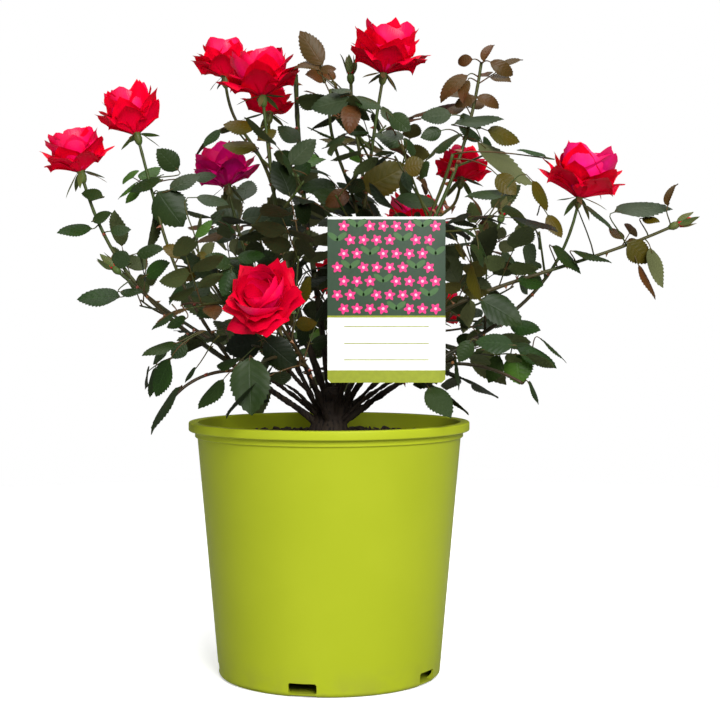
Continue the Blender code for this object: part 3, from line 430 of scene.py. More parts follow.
class Fit:
    def __init__(self, mass, masses, limbs, how, own=False):
        others = [other for other in masses if other is not mass]
        self.how = how
        self.keep = how.get("keep", {}).get(mass.cane.name, 1)
        self.sights = shownSights(masses, how) if own else []
        self.placed = [leaf for other in others for leaf in other.leaves]
        if own:
            self.placed += mass.leaves
        self.own = treeOf(mass.spacePoints())
        self.others = treeOf([point for other in others for point in other.spacePoints()])
        self.reach = treeOf([point for stem in mass.stems for point in stem.samples()])
        twigs = [point for other in others for twig in other.twigs for point in twig.points]
        self.limbs = treeOf(limbs + twigs)
        self.grown = leafTree(self.placed, leafRule["thick"] / 2) if self.placed else None
        self.blooms = [(bloomPlace(s)[0], 0.5 * s.flower + spaceRule["bloomClear"]) for s in mass.blooms()]

    def holds(self, points):
        for point in points:
            if tooLow(point) or inTagSpace(point):
                return False
            if self.limbs.find(point)[2] < spaceRule["limbClear"]:
                return False
            if outsideCrown(point) and self.reach.find(point)[2] > spaceRule["crownStray"]:
                return False
            away = self.others.find(point)[2]
            if away < spaceRule["limbClear"] or self.own.find(point)[2] - away > spaceRule["edge"]:
                return False
            for centre, radius in self.blooms:
                if (point - centre).length < radius:
                    return False
            if self.grown and self.grown.find_nearest(point, self.how["clear"])[0]:
                return False
        return True

    def holdsLeaf(self, leaf):
        middle = leafMiddle(leaf)
        if any((middle - leafMiddle(other)).length < self.how["apart"] for other in self.placed):
            return False
        outline = leafOutline(leaf)[1:-1]
        points = [bent(leaf, x, y) for x, y in outline]
        points += [bent(leaf, (a[0] + b[0]) / 2, (a[1] + b[1]) / 2) for a, b in zip(outline, outline[1:])]
        if any(self.reach.find(point)[2] < spaceRule["ownClear"] for point in points):
            return False
        if self.sights:
            eye = Vector(self.how["from"])
            if openShare(points[::3], eye) > 0 or hides(points[::2], self.sights, eye):
                return False
        if not self.holds(points):
            return False
        return not (self.grown and self.grown.overlap(leafTree([leaf], self.how["clear"])))

    def add(self, leaf):
        self.placed.append(leaf)
        self.grown = leafTree(self.placed, leafRule["thick"] / 2)


def growLeaf(mass, fit, stem, distance, roll, rng, young):
    size = rng.uniform(*fit.how.get("size", leafRule["size"])) * (1.0 - fit.how.get("youngShrink", leafRule["youngShrink"]) * young)
    spread = rng.uniform(*leafRule["spread"]) - leafRule["youngRise"] * young
    droop = rng.uniform(*leafRule["droop"]) * (1 - young)
    tilt = rng.uniform(-leafRule["tilt"], leafRule["tilt"])
    pairs = 1 if rng.random() < leafRule["fewPairs"] * (1 + young) else 2
    root = stem.at(distance)
    tangent = stem.tangent(distance)
    for scale, most in fit.how.get("sizes", leafRule["sizeTries"]):
        for turn in plantRule["rollTries"]:
            few = min(pairs, most)
            leaf = compoundLeaf(root, tangent, roll + turn, few, size * scale, spread, droop, tilt, young, fit.how)
            if fit.holdsLeaf(leaf):
                mass.leaves.append(leaf)
                fit.add(leaf)
                return


def growAlong(mass, fit, stem, begin, rng):
    roll = rng.uniform(0, 360)
    end = stem.length - leafRule["tipBare"][stem.tip]
    count = max(1, round((end - begin) / fit.how["step"]))
    for i in range(count + 1):
        distance = begin + (end - begin) * i / count
        young = max(0.0, 1 - (stem.length - distance) / leafRule["youngRun"]) if stem.tip != "twig" else 0.0
        if fit.keep < 1 and not (stem.tip == "shoot" and young > 0.1) and rng.random() > fit.keep:
            continue
        growLeaf(mass, fit, stem, distance, roll + i * plantRule["golden"], rng, young)


def growTwig(fit, stem, distance, roll, rng):
    length = rng.uniform(*plantRule["twigLength"])
    spread = rng.uniform(*plantRule["twigSpread"])
    lift = rng.uniform(*plantRule["twigLift"])
    root = stem.at(distance)
    tangent = stem.tangent(distance)
    for turn in plantRule["rollTries"]:
        side = roundAxis(tangent, roll + turn)
        along = (tangent * math.cos(math.radians(spread)) + side * math.sin(math.radians(spread))).normalized()
        points = [root.copy()]
        for _ in range(plantRule["twigPoints"]):
            points.append(points[-1] + along * (length / plantRule["twigPoints"]))
            along = (along + up * (lift / plantRule["twigPoints"])).normalized()
        twig = Stem(points, plantRule["twigThick"], plantRule["twigTipThick"], "twig")
        if fit.holds(twig.samples(plantRule["twigFoot"])):
            return twig
    return None


def growTwigs(mass, fit, stem, begin, count, rng):
    roll = rng.uniform(0, 360)
    reach = plantRule["twigRun"] * (stem.length - begin)
    for i in range(count):
        distance = begin + reach * (i + rng.uniform(0.2, 0.8)) / count
        twig = growTwig(fit, stem, distance, roll + i * plantRule["golden"], rng)
        if twig:
            before = len(mass.leaves)
            growAlong(mass, fit, twig, plantRule["twigBare"] * twig.length, rng)
            if len(mass.leaves) > before:
                mass.twigs.append(twig)


def growMass(mass, fit, rng):
    main = mass.stems[0]
    begin = mass.cane.bare + leafRule["first"]
    growTwigs(mass, fit, main, begin, mass.cane.twigs, rng)
    for stem in mass.stems:
        growAlong(mass, fit, stem, begin if stem is main else leafRule["first"], rng)


def growFiner(mass, fit, rng):
    main = mass.stems[0]
    begin = mass.cane.bare + leafRule["first"]
    coarseTwigs = list(mass.twigs)
    growTwigs(mass, fit, main, begin, fine["twigs"], rng)
    for stem in mass.stems[1:]:
        growTwigs(mass, fit, stem, leafRule["first"], fine["sideTwigs"], rng)
    for twig in coarseTwigs:
        growAlong(mass, fit, twig, plantRule["twigBare"] * twig.length, rng)
    for stem in mass.stems:
        growAlong(mass, fit, stem, begin if stem is main else leafRule["first"], rng)


def bareLength(cane, line):
    return line.length if cane.tip == "cut" else cane.bare


def growPlant():
    lines = {cane.name: caneStem(cane) for cane in caneTable}
    masses = []
    limbPoints = []
    for cane in caneTable:
        line = lines[cane.name]
        bare = bareLength(cane, line)
        count = round(bare / plantRule["sampleStep"])
        limbPoints += [line.at(bare * i / count) for i in range(count + 1)]
        if cane.tip != "cut":
            sides = [sideStem(side, line, bare) for side in sideTable if side.cane == cane.name]
            masses.append(Mass(cane, [line] + sides))
    for index, mass in enumerate(masses):
        fit = Fit(mass, masses, limbPoints, coarse)
        growMass(mass, fit, random.Random(plantRule["seed"] + index))
    print("stage: grown as in the solids,", sum(len(mass.leaves) for mass in masses), "leaves")
    for mass in masses:
        for stem in mass.stems[:1]:
            shift = Vector(fine["nudge"].get(mass.cane.name, (0, 0, 0)))
            stem.points = [p + shift * (i / plantRule["linePoints"]) ** 4 for i, p in enumerate(stem.points)]
    sights = shownSights(masses, fine)
    eye = Vector(fine["from"])
    for index, mass in enumerate(masses):
        draw = random.Random(fine["seed"] * 2 + index)
        mass.leaves = [leaf for leaf in mass.leaves if draw.random() > fine["thin"].get(mass.cane.name, 0)]
        for leaf in list(mass.leaves):
            points = [bent(leaf, x, y) for x, y in leafOutline(leaf)]
            if openShare(points, eye) > fine["openMost"] or hides(points, sights, eye):
                mass.leaves.remove(leaf)
    print("stage: opened up,", sum(len(mass.leaves) for mass in masses), "leaves left")
    for index, mass in enumerate(masses):
        fit = Fit(mass, masses, limbPoints, fine, own=True)
        growFiner(mass, fit, random.Random(fine["seed"] + index))
    for mass in masses:
        mass.twigs = [twig for twig in mass.twigs if any(nearest(twig, leaf.root) < 0.0022 for leaf in mass.leaves)]
    print("stage: grown finer,", sum(len(mass.leaves) for mass in masses), "leaves")
    return lines, masses


# Shader groups: each puts out colours, masks or heights, and its materials give the values

def addNode(tree, kind, inputs=None, **settings):
    node = tree.nodes.new(kind)
    for key, value in settings.items():
        setattr(node, key, value)
    for key, value in (inputs or {}).items():
        if isinstance(value, bpy.types.NodeSocket):
            tree.links.new(value, node.inputs[key])
        else:
            node.inputs[key].default_value = value
    return node


def newGroup(name, inputs, outputs):
    group = bpy.data.node_groups.new(name, "ShaderNodeTree")
    for label, value in inputs.items():
        kind = "NodeSocketColor" if isinstance(value, tuple) else "NodeSocketFloat"
        group.interface.new_socket(name=label, in_out="INPUT", socket_type=kind).default_value = value
    for label, kind in outputs.items():
        group.interface.new_socket(name=label, in_out="OUTPUT", socket_type=kind)
    return group, group.nodes.new("NodeGroupInput").outputs, group.nodes.new("NodeGroupOutput")


def mixed(tree, factor, a, b, blend="MIX"):
    node = addNode(tree, "ShaderNodeMix", {0: factor, 6: a, 7: b}, data_type="RGBA", blend_type=blend)
    return node.outputs[2]


def maths(tree, operation, a, b=0.0, c=0.0, clamp=False):
    node = addNode(tree, "ShaderNodeMath", {0: a, 1: b, 2: c}, operation=operation, use_clamp=clamp)
    return node.outputs[0]


def ranged(tree, value, low, high, toLow=0.0, toHigh=1.0):
    inputs = {"Value": value, "From Min": low, "From Max": high, "To Min": toLow, "To Max": toHigh}
    return addNode(tree, "ShaderNodeMapRange", inputs, interpolation_type="SMOOTHSTEP").outputs[0]


def mottleGroup():  # patches of a second colour, at a scale per metre
    inputs = {"Base": (1, 1, 1, 1), "Shade": (0, 0, 0, 1), "Scale": 40.0, "Amount": 0.5}
    group, given, result = newGroup("mottle", inputs, {"Color": "NodeSocketColor", "Mask": "NodeSocketFloat"})
    place = addNode(group, "ShaderNodeTexCoord").outputs["Object"]
    cloud = addNode(group, "ShaderNodeTexNoise", {"Vector": place, "Scale": given["Scale"], "Detail": 3.0})
    mask = maths(group, "MULTIPLY", ranged(group, cloud.outputs[0], 0.36, 0.64), given["Amount"])
    group.links.new(mixed(group, mask, given["Base"], given["Shade"]), result.inputs["Color"])
    group.links.new(mask, result.inputs["Mask"])
    return group


def reliefGroup():  # fine bumps, drawn out along Z by the stretch
    inputs = {"Scale": 300.0, "Stretch": 1.0, "Ridges": 0.0}
    group, given, result = newGroup("relief", inputs, {"Height": "NodeSocketFloat"})
    place = addNode(group, "ShaderNodeTexCoord").outputs["Object"]
    parts = addNode(group, "ShaderNodeSeparateXYZ", {0: place})
    tall = maths(group, "DIVIDE", parts.outputs[2], given["Stretch"])
    drawn = addNode(group, "ShaderNodeCombineXYZ", {0: parts.outputs[0], 1: parts.outputs[1], 2: tall}).outputs[0]
    grain = addNode(group, "ShaderNodeTexNoise", {"Vector": drawn, "Scale": given["Scale"], "Detail": 5.0})
    ridge = maths(group, "ABSOLUTE", maths(group, "SUBTRACT", grain.outputs[0], 0.5))
    deep = maths(group, "MULTIPLY", ridge, given["Ridges"])
    group.links.new(maths(group, "SUBTRACT", grain.outputs[0], deep), result.inputs["Height"])
    return group


def climbGroup():  # from an old colour to a young one between two heights, with a ragged border
    inputs = {"Old": (0, 0, 0, 1), "Young": (1, 1, 1, 1), "Low": 0.22, "High": 0.32}
    group, given, result = newGroup("climb", inputs, {"Color": "NodeSocketColor"})
    place = addNode(group, "ShaderNodeTexCoord").outputs["Object"]
    height = addNode(group, "ShaderNodeSeparateXYZ", {0: place}).outputs[2]
    cloud = addNode(group, "ShaderNodeTexNoise", {"Vector": place, "Scale": 60.0, "Detail": 2.0}).outputs[0]
    ragged = maths(group, "MULTIPLY_ADD", maths(group, "SUBTRACT", cloud, 0.5), 0.05, height)
    share = ranged(group, ragged, given["Low"], given["High"])
    group.links.new(mixed(group, share, given["Old"], given["Young"]), result.inputs["Color"])
    return group


def veinGroup():  # a midrib and slanting side veins, from a blade's own u and v
    inputs = {"Pairs": 7.0, "Slant": 0.55, "Width": 0.10}
    group, given, result = newGroup("veins", inputs, {"Mask": "NodeSocketFloat", "Height": "NodeSocketFloat"})
    skin = addNode(group, "ShaderNodeUVMap", uv_map="skin").outputs[0]
    parts = addNode(group, "ShaderNodeSeparateXYZ", {0: skin})
    out = maths(group, "ABSOLUTE", maths(group, "SUBTRACT", parts.outputs[0], 0.5))
    back = maths(group, "SUBTRACT", parts.outputs[1], maths(group, "MULTIPLY", out, given["Slant"]))
    wave = maths(group, "FRACT", maths(group, "MULTIPLY", back, given["Pairs"]))
    middle = maths(group, "ABSOLUTE", maths(group, "SUBTRACT", wave, 0.5))
    line = ranged(group, middle, given["Width"], 0.0)
    fading = maths(group, "MULTIPLY", line, ranged(group, out, 0.5, 0.30))
    rib = ranged(group, out, 0.035, 0.012)
    mask = maths(group, "MAXIMUM", fading, rib)
    group.links.new(mask, result.inputs["Mask"])
    bulge = maths(group, "MULTIPLY", maths(group, "SUBTRACT", 0.5, middle), -1.0)
    group.links.new(maths(group, "SUBTRACT", bulge, maths(group, "MULTIPLY", rib, 0.6)), result.inputs["Height"])
    return group


def blushGroup():  # a petal's heart colour, running out to another at its sides and its edge, with fine streaks
    inputs = {"Heart": (1, 1, 1, 1), "Edge": (0, 0, 0, 1), "Claw": (1, 1, 1, 1), "Reach": 0.7}
    outputs = {"Color": "NodeSocketColor", "Streaks": "NodeSocketFloat"}
    group, given, result = newGroup("blush", inputs, outputs)
    skin = addNode(group, "ShaderNodeUVMap", uv_map="skin").outputs[0]
    parts = addNode(group, "ShaderNodeSeparateXYZ", {0: skin})
    out = maths(group, "MULTIPLY", maths(group, "ABSOLUTE", maths(group, "SUBTRACT", parts.outputs[0], 0.5)), 2.0)
    far = maths(group, "MAXIMUM", out, parts.outputs[1])
    place = addNode(group, "ShaderNodeTexCoord").outputs["Object"]
    cloud = addNode(group, "ShaderNodeTexNoise", {"Vector": place, "Scale": 90.0, "Detail": 2.0}).outputs[0]
    ragged = maths(group, "MULTIPLY_ADD", maths(group, "SUBTRACT", cloud, 0.5), 0.5, far)
    share = ranged(group, ragged, maths(group, "SUBTRACT", given["Reach"], 0.3), maths(group, "ADD", given["Reach"], 0.3))
    body = mixed(group, share, given["Heart"], given["Edge"])
    claw = ranged(group, parts.outputs[1], 0.16, 0.02)
    drawn = addNode(group, "ShaderNodeCombineXYZ", {0: maths(group, "MULTIPLY", parts.outputs[0], 26.0), 1: parts.outputs[1]})
    streaks = addNode(group, "ShaderNodeTexNoise", {"Vector": drawn.outputs[0], "Scale": 1.4, "Detail": 3.0}).outputs[0]
    group.links.new(mixed(group, claw, body, given["Claw"]), result.inputs["Color"])
    group.links.new(streaks, result.inputs["Streaks"])
    return group


groups = {"mottle": mottleGroup(), "relief": reliefGroup(), "climb": climbGroup(), "veins": veinGroup(),
          "blush": blushGroup()}


def placed(tree, name, inputs=None):
    node = tree.nodes.new("ShaderNodeGroup")
    node.node_tree = groups[name]
    for key, value in (inputs or {}).items():
        if isinstance(value, bpy.types.NodeSocket):
            tree.links.new(value, node.inputs[key])
        elif isinstance(value, tuple):
            node.inputs[key].default_value = (*value, 1) if len(value) == 3 else value
        else:
            node.inputs[key].default_value = value
    return node.outputs


def newMaterial(name, settings):
    made = bpy.data.materials.new(name)
    made.use_nodes = True
    tree = made.node_tree
    shader = tree.nodes["Principled BSDF"]
    for key, value in settings.items():
        shader.inputs[key].default_value = value
    return made, tree, shader


def bumped(tree, shader, height, distance, strength=1.0):
    bump = addNode(tree, "ShaderNodeBump", {"Height": height, "Distance": distance, "Strength": strength})
    tree.links.new(bump.outputs[0], shader.inputs["Normal"])


# Mesh pieces

class Batch:  # gathers many small shapes of one kind into one mesh
    def __init__(self, name):
        self.name = name
        self.verts = []
        self.faces = []
        self.uvs = []
        self.slots = []

    def vert(self, point):
        self.verts.append(point)
        return len(self.verts) - 1

    def face(self, corners, uvs, slot=0):
        self.faces.append(corners)
        self.uvs += uvs
        self.slots.append(slot)

    def sheet(self, rows, back, slots):  # a thin closed blade: rows of points over rows of points behind them
        high = len(rows) - 1
        wide = len(rows[0]) - 1
        front = [[self.vert(point) for point in row] for row in rows]
        behind = []
        for i, row in enumerate(back):
            inside = 0 < i < high
            behind.append([self.vert(p) if inside and 0 < j < wide else front[i][j] for j, p in enumerate(row)])
        for i in range(high):
            for j in range(wide):
                uv = [(j / wide, i / high), (j / wide, (i + 1) / high)]
                uv += [((j + 1) / wide, (i + 1) / high), ((j + 1) / wide, i / high)]
                a = (front[i][j], front[i + 1][j], front[i + 1][j + 1], front[i][j + 1])
                b = (behind[i][j], behind[i][j + 1], behind[i + 1][j + 1], behind[i + 1][j])
                self.face(a, uv, slots[0])
                self.face(b, [uv[0], uv[3], uv[2], uv[1]], slots[1])

    def tube(self, points, radii, sides, slot=0):
        tangents = []
        for i in range(len(points)):
            after = points[min(i + 1, len(points) - 1)]
            before = points[max(i - 1, 0)]
            tangents.append((after - before).normalized())
        side = tangents[0].orthogonal().normalized()
        rings = []
        run = 0.0
        runs = []
        for i, (point, radius) in enumerate(zip(points, radii)):
            if i:
                side.rotate(tangents[i - 1].rotation_difference(tangents[i]))
                run += (point - points[i - 1]).length
            other = tangents[i].cross(side)
            ring = []
            for k in range(sides):
                turn = 2 * math.pi * k / sides
                ring.append(self.vert(point + side * (radius * math.cos(turn)) + other * (radius * math.sin(turn))))
            rings.append(ring)
            runs.append(run * 40)
        for i in range(len(rings) - 1):
            for k in range(sides):
                after = (k + 1) % sides
                uv = [(k / sides, runs[i]), ((k + 1) / sides, runs[i])]
                uv += [((k + 1) / sides, runs[i + 1]), (k / sides, runs[i + 1])]
                self.face((rings[i][k], rings[i][after], rings[i + 1][after], rings[i + 1][k]), uv, slot)
        self.face(tuple(reversed(rings[0])), [(0.5, 0.0)] * sides, slot)
        self.face(tuple(rings[-1]), [(0.5, runs[-1])] * sides, slot)

    def piece(self, materials, slot, nodes=(), sharp=100):
        mesh = bpy.data.meshes.new(self.name)
        mesh.from_pydata(self.verts, [], self.faces)
        layer = mesh.uv_layers.new(name="skin")
        layer.data.foreach_set("uv", [value for pair in self.uvs for value in pair])
        mesh.polygons.foreach_set("material_index", self.slots)
        for made in materials:
            mesh.materials.append(made)
        mesh.shade_smooth()
        mesh.set_sharp_from_angle(angle=math.radians(sharp))  # so that no blade's border is rounded over by its shading
        return settled(bpy.data.objects.new(self.name, mesh), nodes)


def settled(made, nodes=()):  # links a piece, puts it under the root body and hides the nodes it stands in for
    if not made.users_collection:
        bpy.context.scene.collection.objects.link(made)
    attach(made, "root")
    if nodes:
        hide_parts(*nodes)
    corners = len(made.data.polygons)
    print("  piece", made.name, corners, "faces")
    return made


# Leaves

leafletForm = {
    "rows": 24, "columns": (-1.0, -0.52, 0.0, 0.52, 1.0), "thick": 0.00032, "teeth": 0.06, "toothSlant": 0.7,
    "fold": (0.05, 0.34), "arch": (-0.04, 0.24), "twist": (-16, 16), "roll": (-20, 20), "quilt": 0.00012,
    "veins": 7, "stalk": 0.0015, "stalkThick": (0.00066, 0.00042),
}
leafTones = {  # face, shade and underside
    # deep: near-black leaves dealt inside the crown, a painted shade standing for the shadow there
    "deep": ((0.003, 0.007, 0.001), (0.006, 0.011, 0.002), (0.028, 0.036, 0.010)),
    "dark": ((0.012, 0.026, 0.005), (0.018, 0.034, 0.006), (0.052, 0.068, 0.020)),
    "mid": ((0.014, 0.040, 0.004), (0.010, 0.026, 0.004), (0.070, 0.090, 0.026)),
    "grey": ((0.030, 0.043, 0.018), (0.018, 0.032, 0.012), (0.098, 0.108, 0.042)),
    "fresh": ((0.046, 0.112, 0.008), (0.030, 0.074, 0.008), (0.100, 0.130, 0.034)),
    "olive": ((0.062, 0.040, 0.001), (0.048, 0.042, 0.002), (0.085, 0.076, 0.016)),
    "bronze": ((0.080, 0.027, 0.007), (0.052, 0.032, 0.006), (0.095, 0.040, 0.018)),
}
toneRule = {  # how the tones are dealt out: a share of each to the old leaves, more of some on certain canes, and on most leaves inside the crown the near-black deep tone, a painted shade
    "old": {"dark": 0.44, "mid": 0.26, "grey": 0.24, "fresh": 0.06}, "inner": 0.105, "innerTop": 0.40, "paintedShadeShare": 0.75,
    "canes": {"top": ("olive", 0.30), "top_left": ("olive", 0.22), "thorny": ("bronze", 0.30), "back_left": ("bronze", 0.16),
              "far_right": ("olive", 0.25), "right": ("olive", 0.10), "front_right": ("olive", 0.12)},
}


def leafMaterial(name, face, shade, roughness, veinTint, veinStrength):
    made, tree, shader = newMaterial(name, {"Roughness": roughness, "Specular IOR Level": 0.16})
    body = placed(tree, "mottle", {"Base": face, "Shade": shade, "Scale": 34.0, "Amount": 0.9})["Color"]
    fineBody = placed(tree, "mottle", {"Base": body, "Shade": shade, "Scale": 420.0, "Amount": 0.25})["Color"]
    lines = placed(tree, "veins", {"Pairs": 7.0, "Width": 0.12})
    strength = maths(tree, "MULTIPLY", lines["Mask"], veinStrength)
    tree.links.new(mixed(tree, strength, fineBody, (*veinTint, 1)), shader.inputs["Base Color"])
    bumped(tree, shader, lines["Height"], 0.0002, 0.8)
    return made


def addBlade(batch, base, along, face, length, halfWide, rng, slots, rows=None, teeth=None, calm=1.0, bow=0.0):
    form = leafletForm
    rows = rows or form["rows"]
    teeth = form["teeth"] if teeth is None else teeth
    fold = rng.uniform(*form["fold"]) + 0.5 * bow
    arch = rng.uniform(*form["arch"]) * length * calm
    twist = math.radians(rng.uniform(*form["twist"])) * calm
    across = face.cross(along).normalized()
    roll = math.radians(rng.uniform(*form["roll"])) * calm
    front = []
    back = []
    for i in range(rows + 1):
        s = i / rows
        half = halfWide * max(0.03, math.sin(math.pi * s**0.8) ** 0.8) if 0 < i < rows else halfWide * 0.03
        angle = roll + twist * s
        side = across * math.cos(angle) + face * math.sin(angle)
        lift = face * math.cos(angle) - across * math.sin(angle)
        spine = base + along * (s * length) - face * (arch * s * s - bow * length * s * (1 - s))
        slope = (along * length - face * (2 * arch * s - bow * length * (1 - 2 * s))).normalized()
        normal = (lift - slope * lift.dot(slope)).normalized()
        tooth = i % 2 == 1 and i < rows - 1
        frontRow = []
        backRow = []
        for t in form["columns"]:
            x = t * half
            forward = 0.0
            if abs(t) == 1:
                x *= 1 + teeth if tooth else 1 - 0.5 * teeth
                forward = form["toothSlant"] * length / rows if tooth and teeth else 0.0
            bulge = math.cos(2 * math.pi * (form["veins"] * (s - 0.3 * abs(t) * halfWide / length)))
            rise = fold * abs(x) - 0.35 * x * x / halfWide + form["quilt"] * bulge * abs(t) * (1 - abs(t)) * 4
            point = spine + side * x + along * forward + normal * rise
            frontRow.append(point)
            backRow.append(point - normal * form["thick"])
        front.append(frontRow)
        back.append(backRow)
    batch.sheet(front, back, slots)


def dealTone(leaf, cane, rng):  # which tone a leaf gets, by its age, its place in the crown and its cane; inside the crown mostly the near-black deep tone, a painted shade
    if leaf.young > 0.35:
        return "bronze" if rng.random() < 0.70 else "olive"
    if leaf.young > 0.05 and rng.random() < 0.45:
        return rng.choice(("olive", "fresh", "bronze"))
    tone, share = toneRule["canes"].get(cane, ("mid", 0))
    outer = math.hypot(leaf.root.x, leaf.root.y) > toneRule["inner"] or leaf.root.z > toneRule["innerTop"]
    if outer and rng.random() < share:
        return tone
    # leaves inside the crown mostly get the deep tone: painted shade, near-black where the crown is shadowed
    if not outer and rng.random() < toneRule["paintedShadeShare"]:
        return "deep"
    return rng.choices(list(toneRule["old"]), list(toneRule["old"].values()))[0]


def leafPieces(masses, nodes):
    rng = random.Random(7)
    batches = {tone: Batch("leaves_" + tone) for tone in leafTones}
    stalks = Batch("leaf_stalks")
    angle = math.radians(leafRule["pairAngle"])
    for mass in masses:
        for leaf in mass.leaves:
            batch = batches[dealTone(leaf, mass.cane.name, rng)]
            reach = leaf.size * (leafRule["petiole"] + leaf.pairs * leafRule["pairStep"])
            stops = [reach * i / 8 for i in range(9)]
            thick, thin = leafletForm["stalkThick"]
            stalks.tube([bent(leaf, x, 0) for x in stops], [thick + (thin - thick) * x / reach for x in stops], 5)
            for i in range(leaf.pairs):
                foot = leaf.size * (leafRule["petiole"] + i * leafRule["pairStep"])
                length = leaf.size * leafRule["leaflet"] * (0.80 + 0.08 * i)
                for hand in (1, -1):
                    start = bent(leaf, foot, 0)
                    end = bent(leaf, foot + length * math.cos(angle), hand * length * math.sin(angle))
                    addLeaflet(batch, stalks, leaf, start, end, rng)
            addLeaflet(batch, stalks, leaf, bent(leaf, reach, 0), bent(leaf, reach + leaf.size * leafRule["leaflet"], 0), rng)
    placedLeaves(batches, stalks, masses, rng)
    for tone, (face, shade, under) in leafTones.items():
        light = tuple(c * 1.8 + 0.006 for c in face)
        top = leafMaterial("leaf_" + tone, face, shade, 0.44, light, 0.16)
        below = leafMaterial("leaf_" + tone + "_under", under, tuple(c * 0.8 for c in under), 0.62, under, 0.2)
        batches[tone].piece([top, below], "leaf", nodes)
    made, tree, shader = newMaterial("stalk_skin", {"Roughness": 0.5, "Specular IOR Level": 0.25})
    body = placed(tree, "mottle", {"Base": (0.036, 0.052, 0.009), "Shade": (0.10, 0.020, 0.010), "Scale": 45.0, "Amount": 0.6})
    tree.links.new(body["Color"], shader.inputs["Base Color"])
    stalks.piece([made], "cane", nodes)


def placedLeaves(batches, stalks, masses, rng):  # each on a stalk from the nearest stem or twig
    stems = [(stem, mass.cane.bare if stem is mass.stems[0] else 0.0) for mass in masses for stem in mass.stems]
    stems += [(twig, 0.0) for mass in masses for twig in mass.twigs]
    points = [point for stem, begin in stems for point in stem.samples(begin)]
    near = treeOf(points)
    for tone, *ends, wide in shownLeaves:
        foot, tip = Vector(ends[:3]) / 1000, Vector(ends[3:]) / 1000
        along = (tip - foot).normalized()
        length = (tip - foot).length
        seen = wide / 1000
        true = max(seen, (0.62 if tone != "bronze" else 0.50) * length)
        tilt = math.acos(min(1.0, seen / true))
        front = Vector((0, -1, 0))
        above = along.cross(front)
        above *= 1 if above.z > 0 else -1
        face = front * math.cos(tilt) + above * math.sin(tilt)
        face = (face - along * face.dot(along)).normalized() * (-1 if tone == "under" else 1)
        batch = batches["grey" if tone == "under" else tone]
        bow = 0.55 if tone == "bronze" and length < 0.032 else 0.12
        addBlade(batch, foot, along, face, length, 0.5 * true, rng, (0, 1), calm=0.3, bow=bow)
        anchor = Vector(near.find(foot)[0])
        reach = (foot - anchor).length
        line = bezier(anchor, anchor.lerp(foot, 0.35) + up * (0.12 * reach), foot - along * (0.40 * reach), foot, 7)
        line.append(foot + along * (0.15 * length))
        thick, thin = leafletForm["stalkThick"]
        stalks.tube(line, [thick + (thin - thick) * i / 8 for i in range(9)], 5)


def addLeaflet(batch, stalks, leaf, start, end, rng):
    along = (end - start).normalized()
    length = (end - start).length * rng.uniform(0.94, 1.04)
    face = (leaf.face - along * leaf.face.dot(along)).normalized()
    base = start + along * leafletForm["stalk"]
    half = 0.5 * leafRule["wide"] * length * rng.uniform(0.90, 1.10)
    addBlade(batch, base, along, face, length - leafletForm["stalk"], half, rng, (0, 1), bow=0.5 * leaf.young)
    thick = leafletForm["stalkThick"][1]
    stalks.tube([start, base, base + along * (0.12 * length)], [thick, thick, thick * 0.6], 4)


# Stems, with their eyes and prickles

stemForm = {
    "step": 0.004, "sides": 8, "eyeEvery": 0.022, "eyeSwell": 0.16, "seat": 0.006, "slim": 0.86, "taper": 1.9,
    "prickleEvery": (0.011, 0.026), "prickleTall": (0.0028, 0.0046), "prickleBase": 0.0016, "thorny": 1.5,
    "green": (0.036, 0.060, 0.008), "old": (0.020, 0.020, 0.007), "red": (0.070, 0.030, 0.010),
}


def stemMaterial():
    made, tree, shader = newMaterial("stem_skin", {"Roughness": 0.48, "Specular IOR Level": 0.25})
    tint = placed(tree, "climb", {"Old": stemForm["old"], "Young": stemForm["green"], "Low": 0.27, "High": 0.38})["Color"]
    body = placed(tree, "mottle", {"Base": tint, "Shade": stemForm["red"], "Scale": 22.0, "Amount": 0.45})["Color"]
    tree.links.new(body, shader.inputs["Base Color"])
    bumped(tree, shader, placed(tree, "relief", {"Scale": 700.0, "Stretch": 3.0})["Height"], 0.0003, 0.5)
    return made


def seenRadius(stem, distance):  # a cane is thick at its foot and thins soon, more than its solid does
    left = max(0.0, 1 - distance / stem.length)
    return 0.5 * stemForm["slim"] * (stem.tipThick + (stem.footThick - stem.tipThick) * left ** stemForm["taper"])


def walked(stem, begin, end, swell=True):  # points and radii along a stem, with a slight knuckle at each eye
    count = max(2, round((end - begin) / stemForm["step"]))
    points = []
    radii = []
    for i in range(count + 1):
        distance = begin + (end - begin) * i / count
        near = abs((distance / stemForm["eyeEvery"]) % 1 - 0.5) * 2
        points.append(stem.at(distance))
        radii.append(seenRadius(stem, distance) * (1 + (stemForm["eyeSwell"] * near**10 if swell else 0)))
    return points, radii


def addPrickles(batch, stem, begin, end, scale, rng):
    distance = begin + rng.uniform(0.004, 0.012)
    while distance < end:
        side = roundAxis(stem.tangent(distance), rng.uniform(0, 360))
        foot = stem.at(distance) + side * (seenRadius(stem, distance) * 0.7)
        tall = rng.uniform(*stemForm["prickleTall"]) * scale
        down = stem.tangent(distance) * -0.25
        stops = (0.0, 0.35, 0.7, 1.0)
        points = [foot + side * (tall * s) + down * (tall * s * s) for s in stops]
        radii = [stemForm["prickleBase"] * scale * (1 - s) ** 1.4 + 0.00012 for s in stops]
        batch.tube(points, radii, 5)
        distance += rng.uniform(*stemForm["prickleEvery"]) / scale


